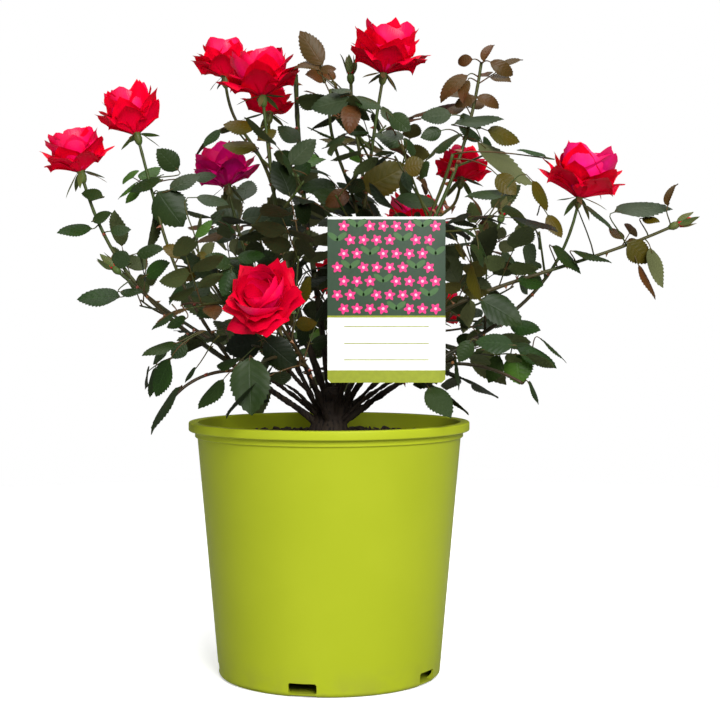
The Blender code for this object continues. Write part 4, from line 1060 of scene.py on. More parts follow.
def stemPieces(lines, masses, nodes):
    rng = random.Random(11)
    stems = Batch("stems")
    prickles = Batch("prickles")
    for mass in masses:
        scale = stemForm["thorny"] if mass.cane.name == "thorny" else 1.0
        for stem in mass.stems:
            begin = mass.cane.bare - stemForm["seat"] if stem is mass.stems[0] else 0.0
            stems.tube(*walked(stem, begin, stem.length), stemForm["sides"])
            addPrickles(prickles, stem, begin, stem.length - 0.04, scale, rng)
        for twig in mass.twigs:
            end = max([(leaf.root - twig.points[0]).length for leaf in mass.leaves if nearest(twig, leaf.root) < 0.0022],
                      default=twig.length)
            stems.tube(*walked(twig, 0.0, min(twig.length, end + 0.004)), 6)
    for cane in caneTable:
        line = lines[cane.name]
        scale = stemForm["thorny"] if cane.name == "thorny" else 1.0
        addPrickles(prickles, line, 0.055, bareLength(cane, line), scale, rng)
    stems.piece([stemMaterial()], "cane", nodes)
    made, tree, shader = newMaterial("prickle_skin", {"Roughness": 0.4})
    body = placed(tree, "mottle", {"Base": (0.20, 0.035, 0.018), "Shade": (0.24, 0.14, 0.04), "Scale": 60.0, "Amount": 0.6})
    tree.links.new(body["Color"], shader.inputs["Base Color"])
    prickles.piece([made], "cane", nodes)


def nearest(stem, point):
    return min((p - point).length for p in stem.samples())


# Blooms and buds

bloomForm = {  # lengths are shares of the bloom's radius, slopes are degrees from its axis
    "layers": (  # petals, length, half width, slope at the foot, slope at the edge, cup, edge roll, point, wrapped
        (5, 1.00, 0.44, 54, 94, 0.02, 0.12, 0.30, 0),
        (5, 1.02, 0.46, 46, 74, 0.10, 0.10, 0.32, 0),
        (5, 1.06, 0.46, 36, 48, 0.22, 0.08, 0.30, 0),
        (4, 1.08, 0.46, 32, 20, 0.34, 0.08, 0.24, 0),
        (4, 1.20, 0.66, 54, -44, 0.0, 0.02, 0.08, 1),
        (4, 1.10, 0.54, 46, -46, 0.0, 0.03, 0.08, 1),
        (4, 0.98, 0.40, 34, -42, 0.0, 0.04, 0.06, 1),
    ),
    "foot": -0.40, "rows": 12, "columns": 10, "thick": 0.00040, "ruffle": 0.040, "peak": 0.05, "globeLayer": 4,
    "hip": 0.0036, "hipTall": 0.010, "sepals": 5, "sepalLong": 0.019, "sepalWide": 0.0024,
}
petalTones = {  # heart, edge and claw of a petal's face, then its gloss
    "red": ((0.62, 0.0005, 0.032), (0.56, 0.0005, 0.018), (0.36, 0.001, 0.020), 0.05),
    # scarlet: the outer faces of the outer petals, brightened above the red faces as painted light where those faces
    # turn down from the lamps
    "scarlet_painted_light": ((0.92, 0.0005, 0.036), (0.86, 0.0005, 0.020), (0.56, 0.001, 0.030), 0.05),
    "crimson": ((0.46, 0.0005, 0.024), (0.44, 0.0005, 0.018), (0.28, 0.001, 0.016), 0.05),
    "pink": ((0.88, 0.004, 0.140), (0.80, 0.001, 0.050), (0.56, 0.003, 0.040), 0.26),
    "rose": ((0.84, 0.012, 0.260), (0.70, 0.003, 0.100), (0.46, 0.004, 0.060), 0.26),
    "magenta": ((0.78, 0.004, 0.230), (0.64, 0.002, 0.150), (0.40, 0.004, 0.080), 0.10),
}
bloomLooks = {  # by cane, for each bloom on it in turn: its size, how far it opens and how tall it stands
    "left": ((1.0, 0.96, 1.12), (1.14, 0.72, 1.30)), "front": ((0.96, 1.0, 0.90),), "right": ((1.0, 0.90, 1.08),),
    "top": ((1.0, 0.94, 1.12),), "top_left": ((1.0, 0.92, 1.05), (1.0, 0.96, 1.10), (1.1, 1.0, 1.0)),
}


def petalMaterial(name, heart, edge, claw, gloss):
    made, tree, shader = newMaterial(name, {"Roughness": 0.42, "Specular IOR Level": gloss})
    blush = placed(tree, "blush", {"Heart": heart, "Edge": edge, "Claw": claw, "Reach": 0.80})
    body = placed(tree, "mottle", {"Base": blush["Color"], "Shade": edge, "Scale": 160.0, "Amount": 0.30})["Color"]
    tree.links.new(body, shader.inputs["Base Color"])
    bumped(tree, shader, blush["Streaks"], 0.0005, 0.5)
    return made


def petalRows(axis, turn, radius, layer, foot, stretch, rng):
    count, length, halfWide, low, high, cup, roll, point, wrapped = layer
    form = bloomForm
    side = roundAxis(axis, math.degrees(turn))
    beside = axis.cross(side)
    length *= radius * rng.uniform(0.92, 1.07)
    halfWide *= radius * rng.uniform(0.90, 1.10)
    low = math.radians(low + rng.uniform(-5, 5))
    high = math.radians(high + rng.uniform(-12, 12) * (0.4 if wrapped else 1))
    phase = rng.uniform(0, 2 * math.pi)
    waves = rng.uniform(1.5, 3.2)
    lean = rng.uniform(-0.16, 0.16)
    line = [(0.06 * radius, 0.0, low)]
    steps = 40
    for i in range(steps):
        out, tall, _ = line[-1]
        slope = low + (high - low) * (i / steps) ** 1.25
        run = length * 1.4 / steps
        line.append((out + run * math.sin(slope), tall + run * math.cos(slope), slope))
    front = []
    back = []
    for i in range(form["rows"] + 1):
        v = i / form["rows"]
        frontRow = []
        backRow = []
        for j in range(form["columns"] + 1):
            u = 2 * j / form["columns"] - 1
            fall = (0.22 + point) * abs(u) ** (2.2 - 1.6 * point) * v**1.5
            fringe = 0.018 * math.sin(9 * u + phase) * v**6
            peak = form["peak"] * v**4 if abs(u) < 0.1 and not wrapped else 0.0
            place = min(steps - 1e-6, max(0.0, v * (1 + 0.3 * point) + peak - fall + fringe) * steps / 1.4)
            a = line[int(place)]
            b = line[int(place) + 1]
            share = place - int(place)
            out = max(0.02 * radius, a[0] + (b[0] - a[0]) * share)
            tall = stretch * (a[1] + (b[1] - a[1]) * share)
            slope = a[2] + (b[2] - a[2]) * share
            half = halfWide * (0.20 + 0.80 * math.sin(0.5 * math.pi * min(1.0, v / 0.66)))
            x = u * half + lean * half * v
            curl = roll * radius * v * v * (abs(u) ** 2.5 + 0.4 * v**4)
            wave = form["ruffle"] * radius * v * v * math.sin(waves * math.pi * u + phase) * (0.3 + abs(u))
            if wrapped:
                angle = x / max(out, 0.24 * radius)
                facing = side * math.cos(angle) + beside * math.sin(angle)
                behind = facing * math.cos(slope) - axis * math.sin(slope)
                shown = foot + facing * (out * (1 + 0.12 * u)) + axis * tall + behind * (curl + 0.6 * wave)
            else:
                behind = side * math.cos(slope) - axis * math.sin(slope)
                inward = cup * x * x / max(0.35 * radius, halfWide)
                shown = foot + side * out + axis * tall + beside * x + behind * (curl + wave - inward)
            frontRow.append(shown)
            backRow.append(shown + behind * form["thick"])
        front.append(frontRow)
        back.append(backRow)
    return front, back


def addBloom(batch, greens, stem, toneOf, looks, rng):
    size, openness, stretch = looks or (1.0, rng.uniform(0.86, 1.06), rng.uniform(0.95, 1.15))
    centre, axis = bloomPlace(stem)
    radius = 0.5 * stem.flower * size
    foot = centre + axis * (bloomForm["foot"] * 0.5 * stem.flower)
    for level, layer in enumerate(bloomForm["layers"]):
        count = layer[0]
        start = rng.uniform(0, 2 * math.pi)
        for k in range(count):
            turn = start + 2 * math.pi * (k + rng.uniform(-0.12, 0.12)) / count
            opened = layer if layer[8] else (*layer[:4], layer[4] * openness, *layer[5:])
            front, back = petalRows(axis, turn, radius, opened, foot, stretch, rng)
            batch.sheet(front, back, toneOf(level, rng))
    hip = bloomForm["hip"]
    tall = bloomForm["hipTall"]
    line = [foot + axis * (tall * s) for s in (-0.95, -0.75, -0.4, -0.1, 0.12)]
    greens.tube(line, [0.0016, hip * 0.8, hip, hip * 0.85, hip * 1.1], 10, 1)
    for k in range(bloomForm["sepals"]):
        side = roundAxis(axis, 360 * k / bloomForm["sepals"] + rng.uniform(-12, 12))
        along = (side * 0.85 - axis * rng.uniform(0.05, 0.75)).normalized()
        face = (axis - along * axis.dot(along)).normalized()
        long = bloomForm["sepalLong"] * rng.uniform(0.8, 1.2)
        addBlade(greens, foot + side * hip * 0.8, along, face, long, bloomForm["sepalWide"], rng, (0, 1), 8, 0.0)


def addBud(batch, greens, stem, rng):
    axis = stem.tangent(stem.length)
    foot = stem.points[-1] - axis * 0.001
    greens.tube([foot + axis * z for z in (-0.001, 0.002, 0.005, 0.008)], [0.0015, 0.0032, 0.0034, 0.0024], 10, 1)
    line = [foot + axis * z for z in (0.007, 0.010, 0.013, 0.016, 0.0185, 0.0200)]
    batch.tube(line, [0.0022, 0.0034, 0.0036, 0.0028, 0.0016, 0.0005], 10, 1)
    for k in range(bloomForm["sepals"]):
        side = roundAxis(axis, 360 * k / bloomForm["sepals"])
        start = foot + axis * 0.0070 + side * 0.0030
        along = (axis + side * rng.uniform(0.05, 0.14)).normalized()
        face = (axis * 0.2 - side - along * (axis * 0.2 - side).dot(along)).normalized()
        addBlade(greens, start, along, face, rng.uniform(0.015, 0.019), 0.0032, rng, (0, 1), 8, 0.0)


def bloomPieces(masses, nodes):
    rng = random.Random(23)
    tones = {name: petalMaterial("petal_" + name, *colours) for name, colours in petalTones.items()}
    order = list(petalTones)

    def usual(level, draw, heart="pink"):  # the outer petals red, their outer faces mostly a brighter red that is painted light, the cupped heart pink outside and red within
        if level >= bloomForm["globeLayer"]:
            return (order.index(heart if draw.random() < 0.45 else "red"), order.index(heart))
        face = "crimson" if draw.random() < 0.12 else "red"
        return (order.index(face), order.index(heart if level > 1 and draw.random() < 0.35 else "scarlet_painted_light"))

    def rosy(level, draw):
        return usual(level, draw, "rose")

    def allPink(level, draw):
        return (order.index("magenta"), order.index("magenta" if draw.random() < 0.6 else "rose"))

    toneOf = {"back_left": allPink, "right": rosy, "back": rosy}
    petals = Batch("petals")
    greens = Batch("hips_and_sepals")
    for mass in masses:
        for stem, looks in zip(mass.blooms(), bloomLooks.get(mass.cane.name, (None, None, None))):
            addBloom(petals, greens, stem, toneOf.get(mass.cane.name, usual), looks, rng)
        for stem in mass.stems:
            if stem.tip == "bud":
                addBud(petals, greens, stem, rng)
    petals.piece([tones[name] for name in order], "petal", nodes)
    face = leafMaterial("sepal", (0.075, 0.125, 0.028), (0.11, 0.06, 0.03), 0.5, (0.14, 0.17, 0.06), 0.2)
    skin = leafMaterial("hip", (0.060, 0.110, 0.022), (0.10, 0.09, 0.03), 0.4, (0.08, 0.12, 0.03), 0.0)
    greens.piece([face, skin], "leaf", nodes)


# Trunk and boughs under one skin of bark

barkForm = {
    "flare": 0.0185, "waist": 0.0135, "top": 0.0105, "voxel": 0.00085, "join": 0.006,
    "ridges": 0.0011, "ridgeScale": 330, "knots": 0.0016, "knotScale": 70, "fadeLow": 0.235, "fadeHigh": 0.30,
    "old": (0.020, 0.013, 0.009), "crack": (0.008, 0.005, 0.004), "young": (0.040, 0.058, 0.010),
}


def barkMaterial():
    made, tree, shader = newMaterial("bark_skin", {"Roughness": 0.80, "Specular IOR Level": 0.25})
    tint = placed(tree, "climb", {"Old": barkForm["old"], "Young": barkForm["young"], "Low": 0.27, "High": 0.40})["Color"]
    body = placed(tree, "mottle", {"Base": tint, "Shade": (0.040, 0.028, 0.016), "Scale": 90.0, "Amount": 0.45})["Color"]
    grain = placed(tree, "relief", {"Scale": 420.0, "Stretch": 4.0, "Ridges": 1.2})["Height"]
    cracked = mixed(tree, ranged(tree, grain, 0.42, 0.26), body, (*barkForm["crack"], 1))
    tree.links.new(cracked, shader.inputs["Base Color"])
    bumped(tree, shader, grain, 0.0012, 0.9)
    return made


def barkPiece(lines, masses):
    form = barkForm
    foot = plantRule["soilTop"]
    top = foot + plantRule["trunkHeight"]
    lean = plantRule["trunkLean"]
    rough = Batch("bark")
    heights = (foot - 0.003, foot + 0.001, foot + 0.006, foot + 0.35 * plantRule["trunkHeight"], top - 0.005, top)
    radii = (form["flare"] * 1.1, form["flare"], form["flare"] * 0.9, form["waist"], form["top"], form["top"] * 0.6)
    rough.tube([Vector((lean * (z - foot), 0, z)) for z in heights], radii, 20)
    for cane in caneTable:
        line = lines[cane.name]
        bare = bareLength(cane, line)
        end = bare if cane.tip == "cut" else bare + form["join"]
        rough.tube(*walked(line, 0.0, end), 10)
    mesh = bpy.data.meshes.new("bark")
    mesh.from_pydata(rough.verts, [], rough.faces)
    made = bpy.data.objects.new("bark", mesh)
    bpy.context.scene.collection.objects.link(made)
    remesh = made.modifiers.new("one_skin", "REMESH")
    remesh.mode = "VOXEL"
    remesh.voxel_size = form["voxel"] * 1
    smooth = made.modifiers.new("ease", "SMOOTH")
    smooth.factor = 0.5
    smooth.iterations = 2
    skin = bpy.data.meshes.new_from_object(made.evaluated_get(bpy.context.evaluated_depsgraph_get()))
    bpy.data.objects.remove(made, do_unlink=True)
    moves = []
    for vertex in skin.vertices:
        p = vertex.co
        fade = 1 - min(1.0, max(0.0, (p.z - form["fadeLow"]) / (form["fadeHigh"] - form["fadeLow"])))
        place = Vector((p.x, p.y, p.z * 0.22)) * form["ridgeScale"]
        ridge = 0.5 - abs(noise.noise(place))
        knot = noise.noise(p * form["knotScale"])
        moves.append(form["ridges"] * (ridge - 0.35) * (0.15 + 0.85 * fade) + form["knots"] * knot * (0.12 + 0.88 * fade))
    normals = [vertex.normal.copy() for vertex in skin.vertices]
    for vertex, normal, move in zip(skin.vertices, normals, moves):
        vertex.co += normal * move
        vertex.co.z = max(vertex.co.z, foot - 0.002)
    skin.materials.clear()
    skin.materials.append(barkMaterial())
    skin.shade_smooth()
    skin.update()
    nodes = ["trunk"] + ["bough_" + cane.name for cane in caneTable]
    settled(bpy.data.objects.new("bark", skin), nodes)


# Pot

potForm = {
    "rimBand": 0.0074, "rimRound": 0.0012, "collar": 0.1122, "collarDrop": 0.0125, "neck": 0.1112,
    "bottom": 0.0931, "corner": 0.0044, "wall": 0.0018, "base": 0.003, "steps": 192,
    "holes": 5, "holeFirst": -12.2, "holeWide": 0.023, "holeTop": 0.0115, "strip": 0.0016,
    "recesses": 3, "recessFirst": -43, "recessWide": 0.030, "recessTall": 0.0026, "cut": 0.007,
    "lime": (0.345, 0.400, 0.016), "limeShade": (0.320, 0.376, 0.013),
}


def wallRadius(height):
    share = (height - potForm["corner"]) / (plantRule["potHeight"] - potForm["corner"])
    return potForm["bottom"] + share * (potForm["neck"] - potForm["bottom"])


def arc(centre, radius, first, last, count):
    points = []
    for i in range(count + 1):
        turn = math.radians(first + (last - first) * i / count)
        points.append((centre[0] + radius * math.cos(turn), centre[1] + radius * math.sin(turn)))
    return points


def potProfile():
    form = potForm
    high = plantRule["potHeight"]
    rim = plantRule["rimRadius"]
    rimLow = high - form["rimBand"]
    collarLow = high - form["collarDrop"]
    inner = wallRadius(high) - form["wall"]
    profile = arc((inner + 0.0012, high - 0.0012), 0.0012, 180, 90, 4)
    profile += arc((rim - form["rimRound"], high - form["rimRound"]), form["rimRound"], 90, 0, 5)
    profile += arc((rim - form["rimRound"], rimLow + form["rimRound"]), form["rimRound"], 0, -90, 4)
    profile += arc((form["collar"] + 0.0006, rimLow - 0.0006), 0.0006, 90, 180, 2)
    profile += [(form["collar"], collarLow + 0.0004), (form["collar"] - 0.0003, collarLow)]
    profile += [(wallRadius(collarLow) + 0.0003, collarLow - 0.0004), (wallRadius(collarLow), collarLow - 0.0012)]
    profile += arc((form["bottom"] - form["corner"], form["corner"]), form["corner"], 0, -90, 7)
    profile += [(0, 0), (0, form["base"]), (form["bottom"] - 0.0055, form["base"])]
    profile += [(wallRadius(0.0075) - form["wall"], 0.0075), profile[0]]
    return profile


def turned(name, profile, steps):
    bm = bmesh.new()
    verts = [bm.verts.new((radius, 0, height)) for radius, height in profile]
    for a, b in zip(verts, verts[1:]):
        bm.edges.new((a, b))
    mesh = bpy.data.meshes.new(name)
    bm.to_mesh(mesh)
    bm.free()
    made = bpy.data.objects.new(name, mesh)
    bpy.context.scene.collection.objects.link(made)
    screw = made.modifiers.new("turn", "SCREW")
    screw.steps = screw.render_steps = steps
    screw.use_merge_vertices = True
    screw.merge_threshold = 0.00001
    return made


def applied(made):  # the object with its modifiers made part of its mesh
    mesh = bpy.data.meshes.new_from_object(made.evaluated_get(bpy.context.evaluated_depsgraph_get()))
    name = made.name
    place = made.matrix_world.copy()
    bpy.data.objects.remove(made, do_unlink=True)
    fresh = bpy.data.objects.new(name, mesh)
    fresh.matrix_world = place
    bpy.context.scene.collection.objects.link(fresh)
    return fresh


def block(group, turn, radius, wide, low, high):
    bm = bmesh.new()
    bmesh.ops.create_cube(bm, size=1)
    bmesh.ops.scale(bm, vec=(wide, 2 * potForm["cut"], high - low), verts=bm.verts)
    bmesh.ops.bevel(bm, geom=bm.edges, offset=0.0008, segments=2, affect="EDGES")
    mesh = bpy.data.meshes.new("cutter")
    bm.to_mesh(mesh)
    bm.free()
    made = bpy.data.objects.new("cutter", mesh)
    turn = math.radians(turn)
    made.location = (radius * math.sin(turn), -radius * math.cos(turn), (low + high) / 2)
    made.rotation_euler.z = turn
    group.objects.link(made)


def potPiece():
    form = potForm
    pot = turned("nursery_pot", potProfile(), form["steps"])
    cutters = bpy.data.collections.new("cutters")
    bpy.context.scene.collection.children.link(cutters)
    for i in range(form["holes"]):
        turn = form["holeFirst"] + i * 360 / form["holes"]
        block(cutters, turn, form["bottom"], form["holeWide"], form["base"] + 0.0002, form["holeTop"])
        block(cutters, turn, form["bottom"] + 0.001, form["holeWide"], -0.004, form["strip"])
    for i in range(form["recesses"]):
        turn = form["recessFirst"] + i * 360 / form["recesses"]
        block(cutters, turn, form["bottom"] + 0.004, form["recessWide"], -0.004, form["recessTall"])
    cut = pot.modifiers.new("drain_holes", "BOOLEAN")
    cut.operation = "DIFFERENCE"
    cut.operand_type = "COLLECTION"
    cut.collection = cutters
    pot = applied(pot)
    for item in list(cutters.objects):
        bpy.data.objects.remove(item, do_unlink=True)
    bpy.data.collections.remove(cutters)
    made, tree, shader = newMaterial("pot_lime", {"Roughness": 0.42, "Specular IOR Level": 0.10})
    mottle = {"Base": form["lime"], "Shade": form["limeShade"], "Scale": 14.0, "Amount": 0.5}
    body = placed(tree, "mottle", mottle)["Color"]
    place = addNode(tree, "ShaderNodeTexCoord").outputs["Object"]
    height = addNode(tree, "ShaderNodeSeparateXYZ", {0: place}).outputs[2]
    # greyish darker patches, growing towards the foot of the pot
    lowDarkPatches = placed(tree, "mottle", {"Base": body, "Shade": (0.22, 0.21, 0.05), "Scale": 60.0, "Amount": 0.35})["Color"]
    low = ranged(tree, height, 0.030, 0.0, 0.0, 0.7)
    tree.links.new(mixed(tree, low, body, lowDarkPatches), shader.inputs["Base Color"])
    grain = placed(tree, "relief", {"Scale": 900.0, "Stretch": 1.0})["Height"]
    tree.links.new(ranged(tree, grain, 0.2, 0.8, 0.36, 0.46), shader.inputs["Roughness"])
    bumped(tree, shader, grain, 0.00012, 0.5)
    pot.data.materials.clear()
    pot.data.materials.append(made)
    pot.data.shade_smooth()
    pot.data.set_sharp_from_angle(angle=math.radians(35))
    settled(pot, ["pot"])


# Potting mix

soilForm = {"rings": 46, "steps": 150, "lift": 0.0035, "chips": 900, "chip": (0.0018, 0.0062), "base": 0.0033}


def soilPiece():
    form = soilForm
    top = plantRule["soilTop"]
    outer = wallRadius(top) - potForm["wall"] - 0.0003
    rng = random.Random(31)
    batch = Batch("potting_mix")
    rings = [[batch.vert(Vector((0, 0, top)))]]
    for i in range(1, form["rings"] + 1):
        radius = outer * i / form["rings"]
        edge = min(1.0, (outer - radius) / 0.010)
        ring = []
        for k in range(form["steps"]):
            turn = 2 * math.pi * k / form["steps"]
            x = radius * math.cos(turn)
            y = radius * math.sin(turn)
            rise = noise.fractal(Vector((x, y, 0)) * 90, 0.6, 2.0, 4) * form["lift"]
            ring.append(batch.vert(Vector((x, y, top + rise * edge))))
        rings.append(ring)
    low = 0.011
    rings.append([batch.vert(Vector((v.x, v.y, 0)) * ((wallRadius(low) - 0.0025) / outer) + up * low)
                  for v in (batch.verts[i] for i in rings[-1])])
    count = form["steps"]
    for i, (inner, wider) in enumerate(zip(rings, rings[1:])):
        for k in range(count):
            after = (k + 1) % count
            if i == 0:
                batch.face((inner[0], wider[k], wider[after]), [(0.5, 0.5)] * 3)
            else:
                batch.face((inner[k], wider[k], wider[after], inner[after]), [(0.5, 0.5)] * 4)
    batch.face(tuple(reversed(rings[-1])), [(0.5, 0.5)] * count)
    for _ in range(form["chips"]):
        radius = (outer - 0.006) * math.sqrt(rng.random())
        turn = rng.uniform(0, 2 * math.pi)
        middle = Vector((radius * math.cos(turn), radius * math.sin(turn), top + rng.uniform(0.0, 0.0022)))
        size = rng.uniform(*form["chip"])
        axis = Vector((rng.gauss(0, 1), rng.gauss(0, 1), rng.gauss(0, 0.35))).normalized()
        ends = [middle - axis * size * 0.5, middle - axis * size * 0.2, middle + axis * size * 0.25, middle + axis * size * 0.5]
        thick = size * rng.uniform(0.16, 0.34)
        batch.tube(ends, [thick * 0.6, thick, thick * rng.uniform(0.8, 1.2), thick * 0.5], 5, 1)
    mix, tree, shader = newMaterial("potting_mix", {"Roughness": 0.95})
    body = placed(tree, "mottle", {"Base": (0.020, 0.013, 0.009), "Shade": (0.050, 0.032, 0.020), "Scale": 500.0, "Amount": 1.0})
    tree.links.new(body["Color"], shader.inputs["Base Color"])
    bumped(tree, shader, placed(tree, "relief", {"Scale": 900.0, "Ridges": 1.0})["Height"], 0.002, 1.0)
    chip, tree, shader = newMaterial("bark_chip", {"Roughness": 0.85})
    body = placed(tree, "mottle", {"Base": (0.060, 0.034, 0.020), "Shade": (0.022, 0.013, 0.009), "Scale": 130.0, "Amount": 0.9})
    tree.links.new(body["Color"], shader.inputs["Base Color"])
    bumped(tree, shader, placed(tree, "relief", {"Scale": 1500.0, "Ridges": 1.0})["Height"], 0.0006, 0.8)
    batch.piece([mix, chip], "soil", ["soil"])


# Hang tag, printed with a made-up pattern of small flowers

printForm = {
    "lift": 0.00012, "panelLow": 0.405, "panelHigh": 0.985, "bandHigh": 0.075, "inset": 0.0,
    "corner": 0.0022, "flower": 0.0046, "across": 9, "down": 7, "ruleLines": (0.335, 0.235, 0.135),
    "white": (0.93, 0.935, 0.91), "green": (0.016, 0.045, 0.018), "leafy": (0.045, 0.120, 0.030),
    "pink": (0.70, 0.020, 0.180), "heart": (0.90, 0.45, 0.55), "lime": (0.245, 0.285, 0.014),
}


def printInk(name, colour, shade):
    made, tree, shader = newMaterial("ink_" + name, {"Roughness": 0.32, "Coat Weight": 0.2, "Coat Roughness": 0.2})
    body = placed(tree, "mottle", {"Base": colour, "Shade": shade, "Scale": 260.0, "Amount": 0.5})["Color"]
    tree.links.new(body, shader.inputs["Base Color"])
    bumped(tree, shader, placed(tree, "relief", {"Scale": 1800.0})["Height"], 0.00005, 0.4)
    return made


def tagPieces(lines):
    form = printForm
    tag = tagForm
    front = tag["front"]
    inks = {name: printInk(name, form[name], tuple(c * 0.82 for c in form[name]))
            for name in ("white", "green", "leafy", "pink", "heart", "lime")}
    order = list(inks)
    batch = Batch("hang_tag")

    def at(x, z, lift=0.0):  # a point on the card's face, by shares of its width and height
        return Vector((tag["left"] + x * tag["wide"], front - lift, tag["low"] + z * tag["tall"]))

    def plate(outline, ink, lift):  # a flat printed shape, standing a hair proud of the card
        corners = [batch.vert(at(x, z, lift)) for x, z in outline]
        batch.face(tuple(corners), [(0.5, 0.5)] * len(corners), order.index(ink))

    outline = []
    curve = form["corner"]
    centres = ((1, 1, 0), (0, 1, 90), (0, 0, 180), (1, 0, 270))
    for right, upper, first in centres:
        cx = tag["left"] + (tag["wide"] - curve if right else curve)
        cz = tag["low"] + (tag["tall"] - curve if upper else curve)
        outline += arc((cx, cz), curve, first, first + 90, 5)
    count = len(outline)
    faceRing = [batch.vert(Vector((x, front, z))) for x, z in outline]
    backRing = [batch.vert(Vector((x, front + tag["thick"], z))) for x, z in outline]
    batch.face(tuple(reversed(faceRing)), [(0.5, 0.5)] * count)
    batch.face(tuple(backRing), [(0.5, 0.5)] * count)
    for k in range(count):
        after = (k + 1) % count
        batch.face((faceRing[k], faceRing[after], backRing[after], backRing[k]), [(0.5, 0.5)] * 4)
    lift = form["lift"]
    low = form["panelLow"]
    high = form["panelHigh"]
    plate([(0.0, low), (1.0, low), (1.0, high), (0.0, high)], "green", lift)
    plate([(0.0, low - 0.012), (1.0, low - 0.012), (1.0, low), (0.0, low)], "lime", lift)
    plate([(0.03, 0.0), (0.97, 0.0), (1.0, 0.02), (1.0, form["bandHigh"]), (0.0, form["bandHigh"]), (0.0, 0.02)], "lime", lift)
    for line in form["ruleLines"]:
        plate([(0.14, line), (0.86, line), (0.86, line + 0.006), (0.14, line + 0.006)], "lime", lift)
    ratio = tag["wide"] / tag["tall"]
    size = form["flower"] / tag["wide"]
    for row in range(form["down"]):
        z = low + (high - low) * (row + 0.5) / form["down"]
        for column in range(form["across"]):
            x = (column + (0.75 if row % 2 else 0.25)) / form["across"]
            if not size < x < 1 - size:
                continue
            if (row + 2 * column) % 5 == 0:
                for hand in (1, -1):
                    oval = []
                    for k in range(12):
                        turn = 2 * math.pi * k / 12
                        a = 1.1 * size * math.cos(turn) + hand * 0.9 * size
                        b = 0.48 * size * math.sin(turn)
                        oval.append((x + a * 0.8 - b * 0.6 * hand, z + (a * 0.6 * hand + b * 0.8) * ratio))
                    plate(oval, "leafy", lift * 2)
                continue
            spin = 0.3 * row + 0.5 * column
            petals = []
            for k in range(30):
                turn = 2 * math.pi * k / 30
                out = size * (0.78 + 0.22 * math.cos(5 * (turn + spin)))
                petals.append((x + out * math.cos(turn), z + out * math.sin(turn) * ratio))
            plate(petals, "pink", lift * 2)
            heart = [(x + 0.26 * size * math.cos(k * math.pi / 5), z + 0.26 * size * math.sin(k * math.pi / 5) * ratio)
                     for k in range(10)]
            plate(heart, "heart", lift * 3)
    batch.piece([inks[name] for name in order], "tag", ["tag"], 40)
    stem = lines[tag["cane"]]
    hub = stem.at(tag["ringAt"])
    axis = stem.tangent(tag["ringAt"])
    inner = stem.radius(tag["ringAt"]) + 0.0006
    anchor = Vector((tag["left"] + tag["wide"] / 2, front + tag["thick"], tag["low"] + tag["tall"] - tag["strapDrop"]))
    strap = Batch("tag_strap")
    ring = []
    for k in range(25):
        side = roundAxis(axis, 15 * k)
        ring.append(hub + side * (inner + 0.0006))
    half = tag["ringTall"] / 2
    rows = [[p - axis * half for p in ring], [p for p in ring], [p + axis * half for p in ring]]
    outer = [[p + (p - hub).normalized() * 0.0009 for p in ring]] * 3
    back = [[p - axis * half for p in outer[0]], list(outer[0]), [p + axis * half for p in outer[0]]]
    strap.sheet(rows, back, (0, 0))
    start = hub + ((anchor - hub) - axis * (anchor - hub).dot(axis)).normalized() * (inner + 0.0010)
    reach = anchor - start
    wide = Vector((0, 0, 1)).cross(reach).normalized().cross(reach).normalized() * (tag["strapWide"] / 2)
    bow = reach.cross(wide).normalized() * 0.0012
    steps = 14
    stops = [start + reach * (i / steps) + bow * math.sin(math.pi * i / steps) * 1.2 for i in range(steps + 1)]
    thin = reach.cross(wide).normalized() * (tag["strapThick"] / 2)
    strap.sheet([[p - wide + thin, p + thin * 1.1, p + wide + thin] for p in stops],
                [[p - wide - thin, p - thin * 1.1, p + wide - thin] for p in stops], (0, 0))
    made, tree, shader = newMaterial("strap_white", {"Roughness": 0.38})
    body = placed(tree, "mottle", {"Base": (0.72, 0.73, 0.70), "Shade": (0.60, 0.60, 0.56), "Scale": 120.0, "Amount": 0.5})
    tree.links.new(body["Color"], shader.inputs["Base Color"])
    strap.piece([made], "tag", ["tag"])


# Stage, lights and camera

stageForm = {"seen": (0.94, 0.94, 0.93), "bounce": (0.42, 0.42, 0.42), "glow": 0.42, "radius": 1.5}
cameraForm = {"place": (0.0258, -1.3237, 0.3056), "down": 1.83, "lens": 78.95}  # fitted to the pot's rim and base
lightForm = {  # place, aim, size, watts
    "key": ((0.70, -2.10, 1.30), (0.0, 0.0, 0.30), 1.1, 78),
    "fill": ((-1.5, -1.5, 0.9), (0.0, 0.0, 0.28), 1.2, 11),
    "top": ((0.0, 0.1, 2.2), (0.0, 0.1, 0.0), 2.2, 44),
}
skyForm = {"seen": 1.0, "light": 0.15}


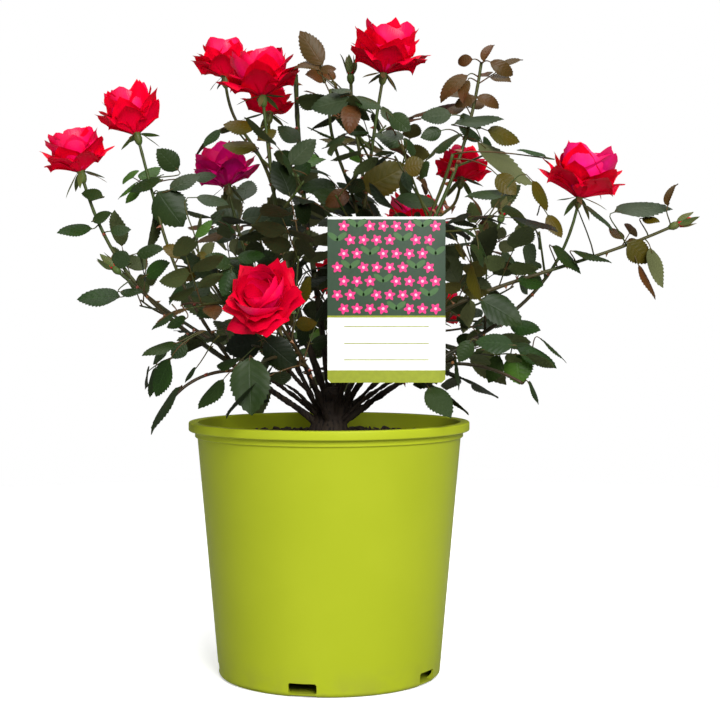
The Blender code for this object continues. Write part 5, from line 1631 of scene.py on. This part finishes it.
def stagePieces():
    bm = bmesh.new()
    bmesh.ops.create_circle(bm, cap_ends=True, segments=96, radius=stageForm["radius"])
    mesh = bpy.data.meshes.new("floor")
    bm.to_mesh(mesh)
    bm.free()
    floor = bpy.data.objects.new("floor", mesh)
    bpy.context.scene.collection.objects.link(floor)
    made, tree, shader = newMaterial("floor_pale", {"Roughness": 0.95, "Specular IOR Level": 0.0})
    shader.inputs["Emission Strength"].default_value = 1.0
    soft = tuple(c * 0.985 for c in stageForm["seen"])
    seen = placed(tree, "mottle", {"Base": stageForm["seen"], "Shade": soft, "Scale": 3.0, "Amount": 0.5})["Color"]
    direct = addNode(tree, "ShaderNodeLightPath").outputs["Is Camera Ray"]
    tree.links.new(mixed(tree, direct, (*stageForm["bounce"], 1), seen), shader.inputs["Base Color"])
    glow = stageForm["glow"]
    tree.links.new(mixed(tree, direct, (0, 0, 0, 1), (glow, glow, glow, 1)), shader.inputs["Emission Color"])
    mesh.materials.append(made)


def studio():
    for name, (place, aim, size, watts) in lightForm.items():
        light = bpy.data.lights.new(name, "AREA")
        light.size = size
        light.energy = watts
        item = bpy.data.objects.new(name, light)
        item.location = place
        item.rotation_euler = (Vector(aim) - Vector(place)).to_track_quat("-Z", "Y").to_euler()
        bpy.context.scene.collection.objects.link(item)
    world = bpy.data.worlds.new("studio")
    world.use_nodes = True
    tree = world.node_tree
    direct = addNode(tree, "ShaderNodeLightPath").outputs["Is Camera Ray"]
    strength = ranged(tree, direct, 0.0, 1.0, skyForm["light"], skyForm["seen"])
    tree.nodes["Background"].inputs["Color"].default_value = (1, 1, 1, 1)
    tree.links.new(strength, tree.nodes["Background"].inputs["Strength"])
    bpy.context.scene.world = world
    bpy.context.scene.view_settings.view_transform = "Standard"
    data = bpy.data.cameras.new("camera")
    data.lens = cameraForm["lens"]
    data.sensor_width = 36
    camera = bpy.data.objects.new("camera", data)
    camera.location = cameraForm["place"]
    camera.rotation_euler = (math.radians(90 - cameraForm["down"]), 0, 0)
    bpy.context.scene.collection.objects.link(camera)
    bpy.context.scene.camera = camera


studio()
stagePieces()
print("stage: camera, lights and floor")
potPiece()
soilPiece()
print("stage: pot and potting mix")
caneLines, plantMasses = growPlant()
foliageNodes = ["foliage_" + mass.cane.name for mass in plantMasses]
barkPiece(caneLines, plantMasses)
stemPieces(caneLines, plantMasses, foliageNodes)
print("stage: bark, stems and prickles")
leafPieces(plantMasses, foliageNodes)
print("stage: leaves")
bloomPieces(plantMasses, foliageNodes)
tagPieces(caneLines)
print("stage: blooms and tag")
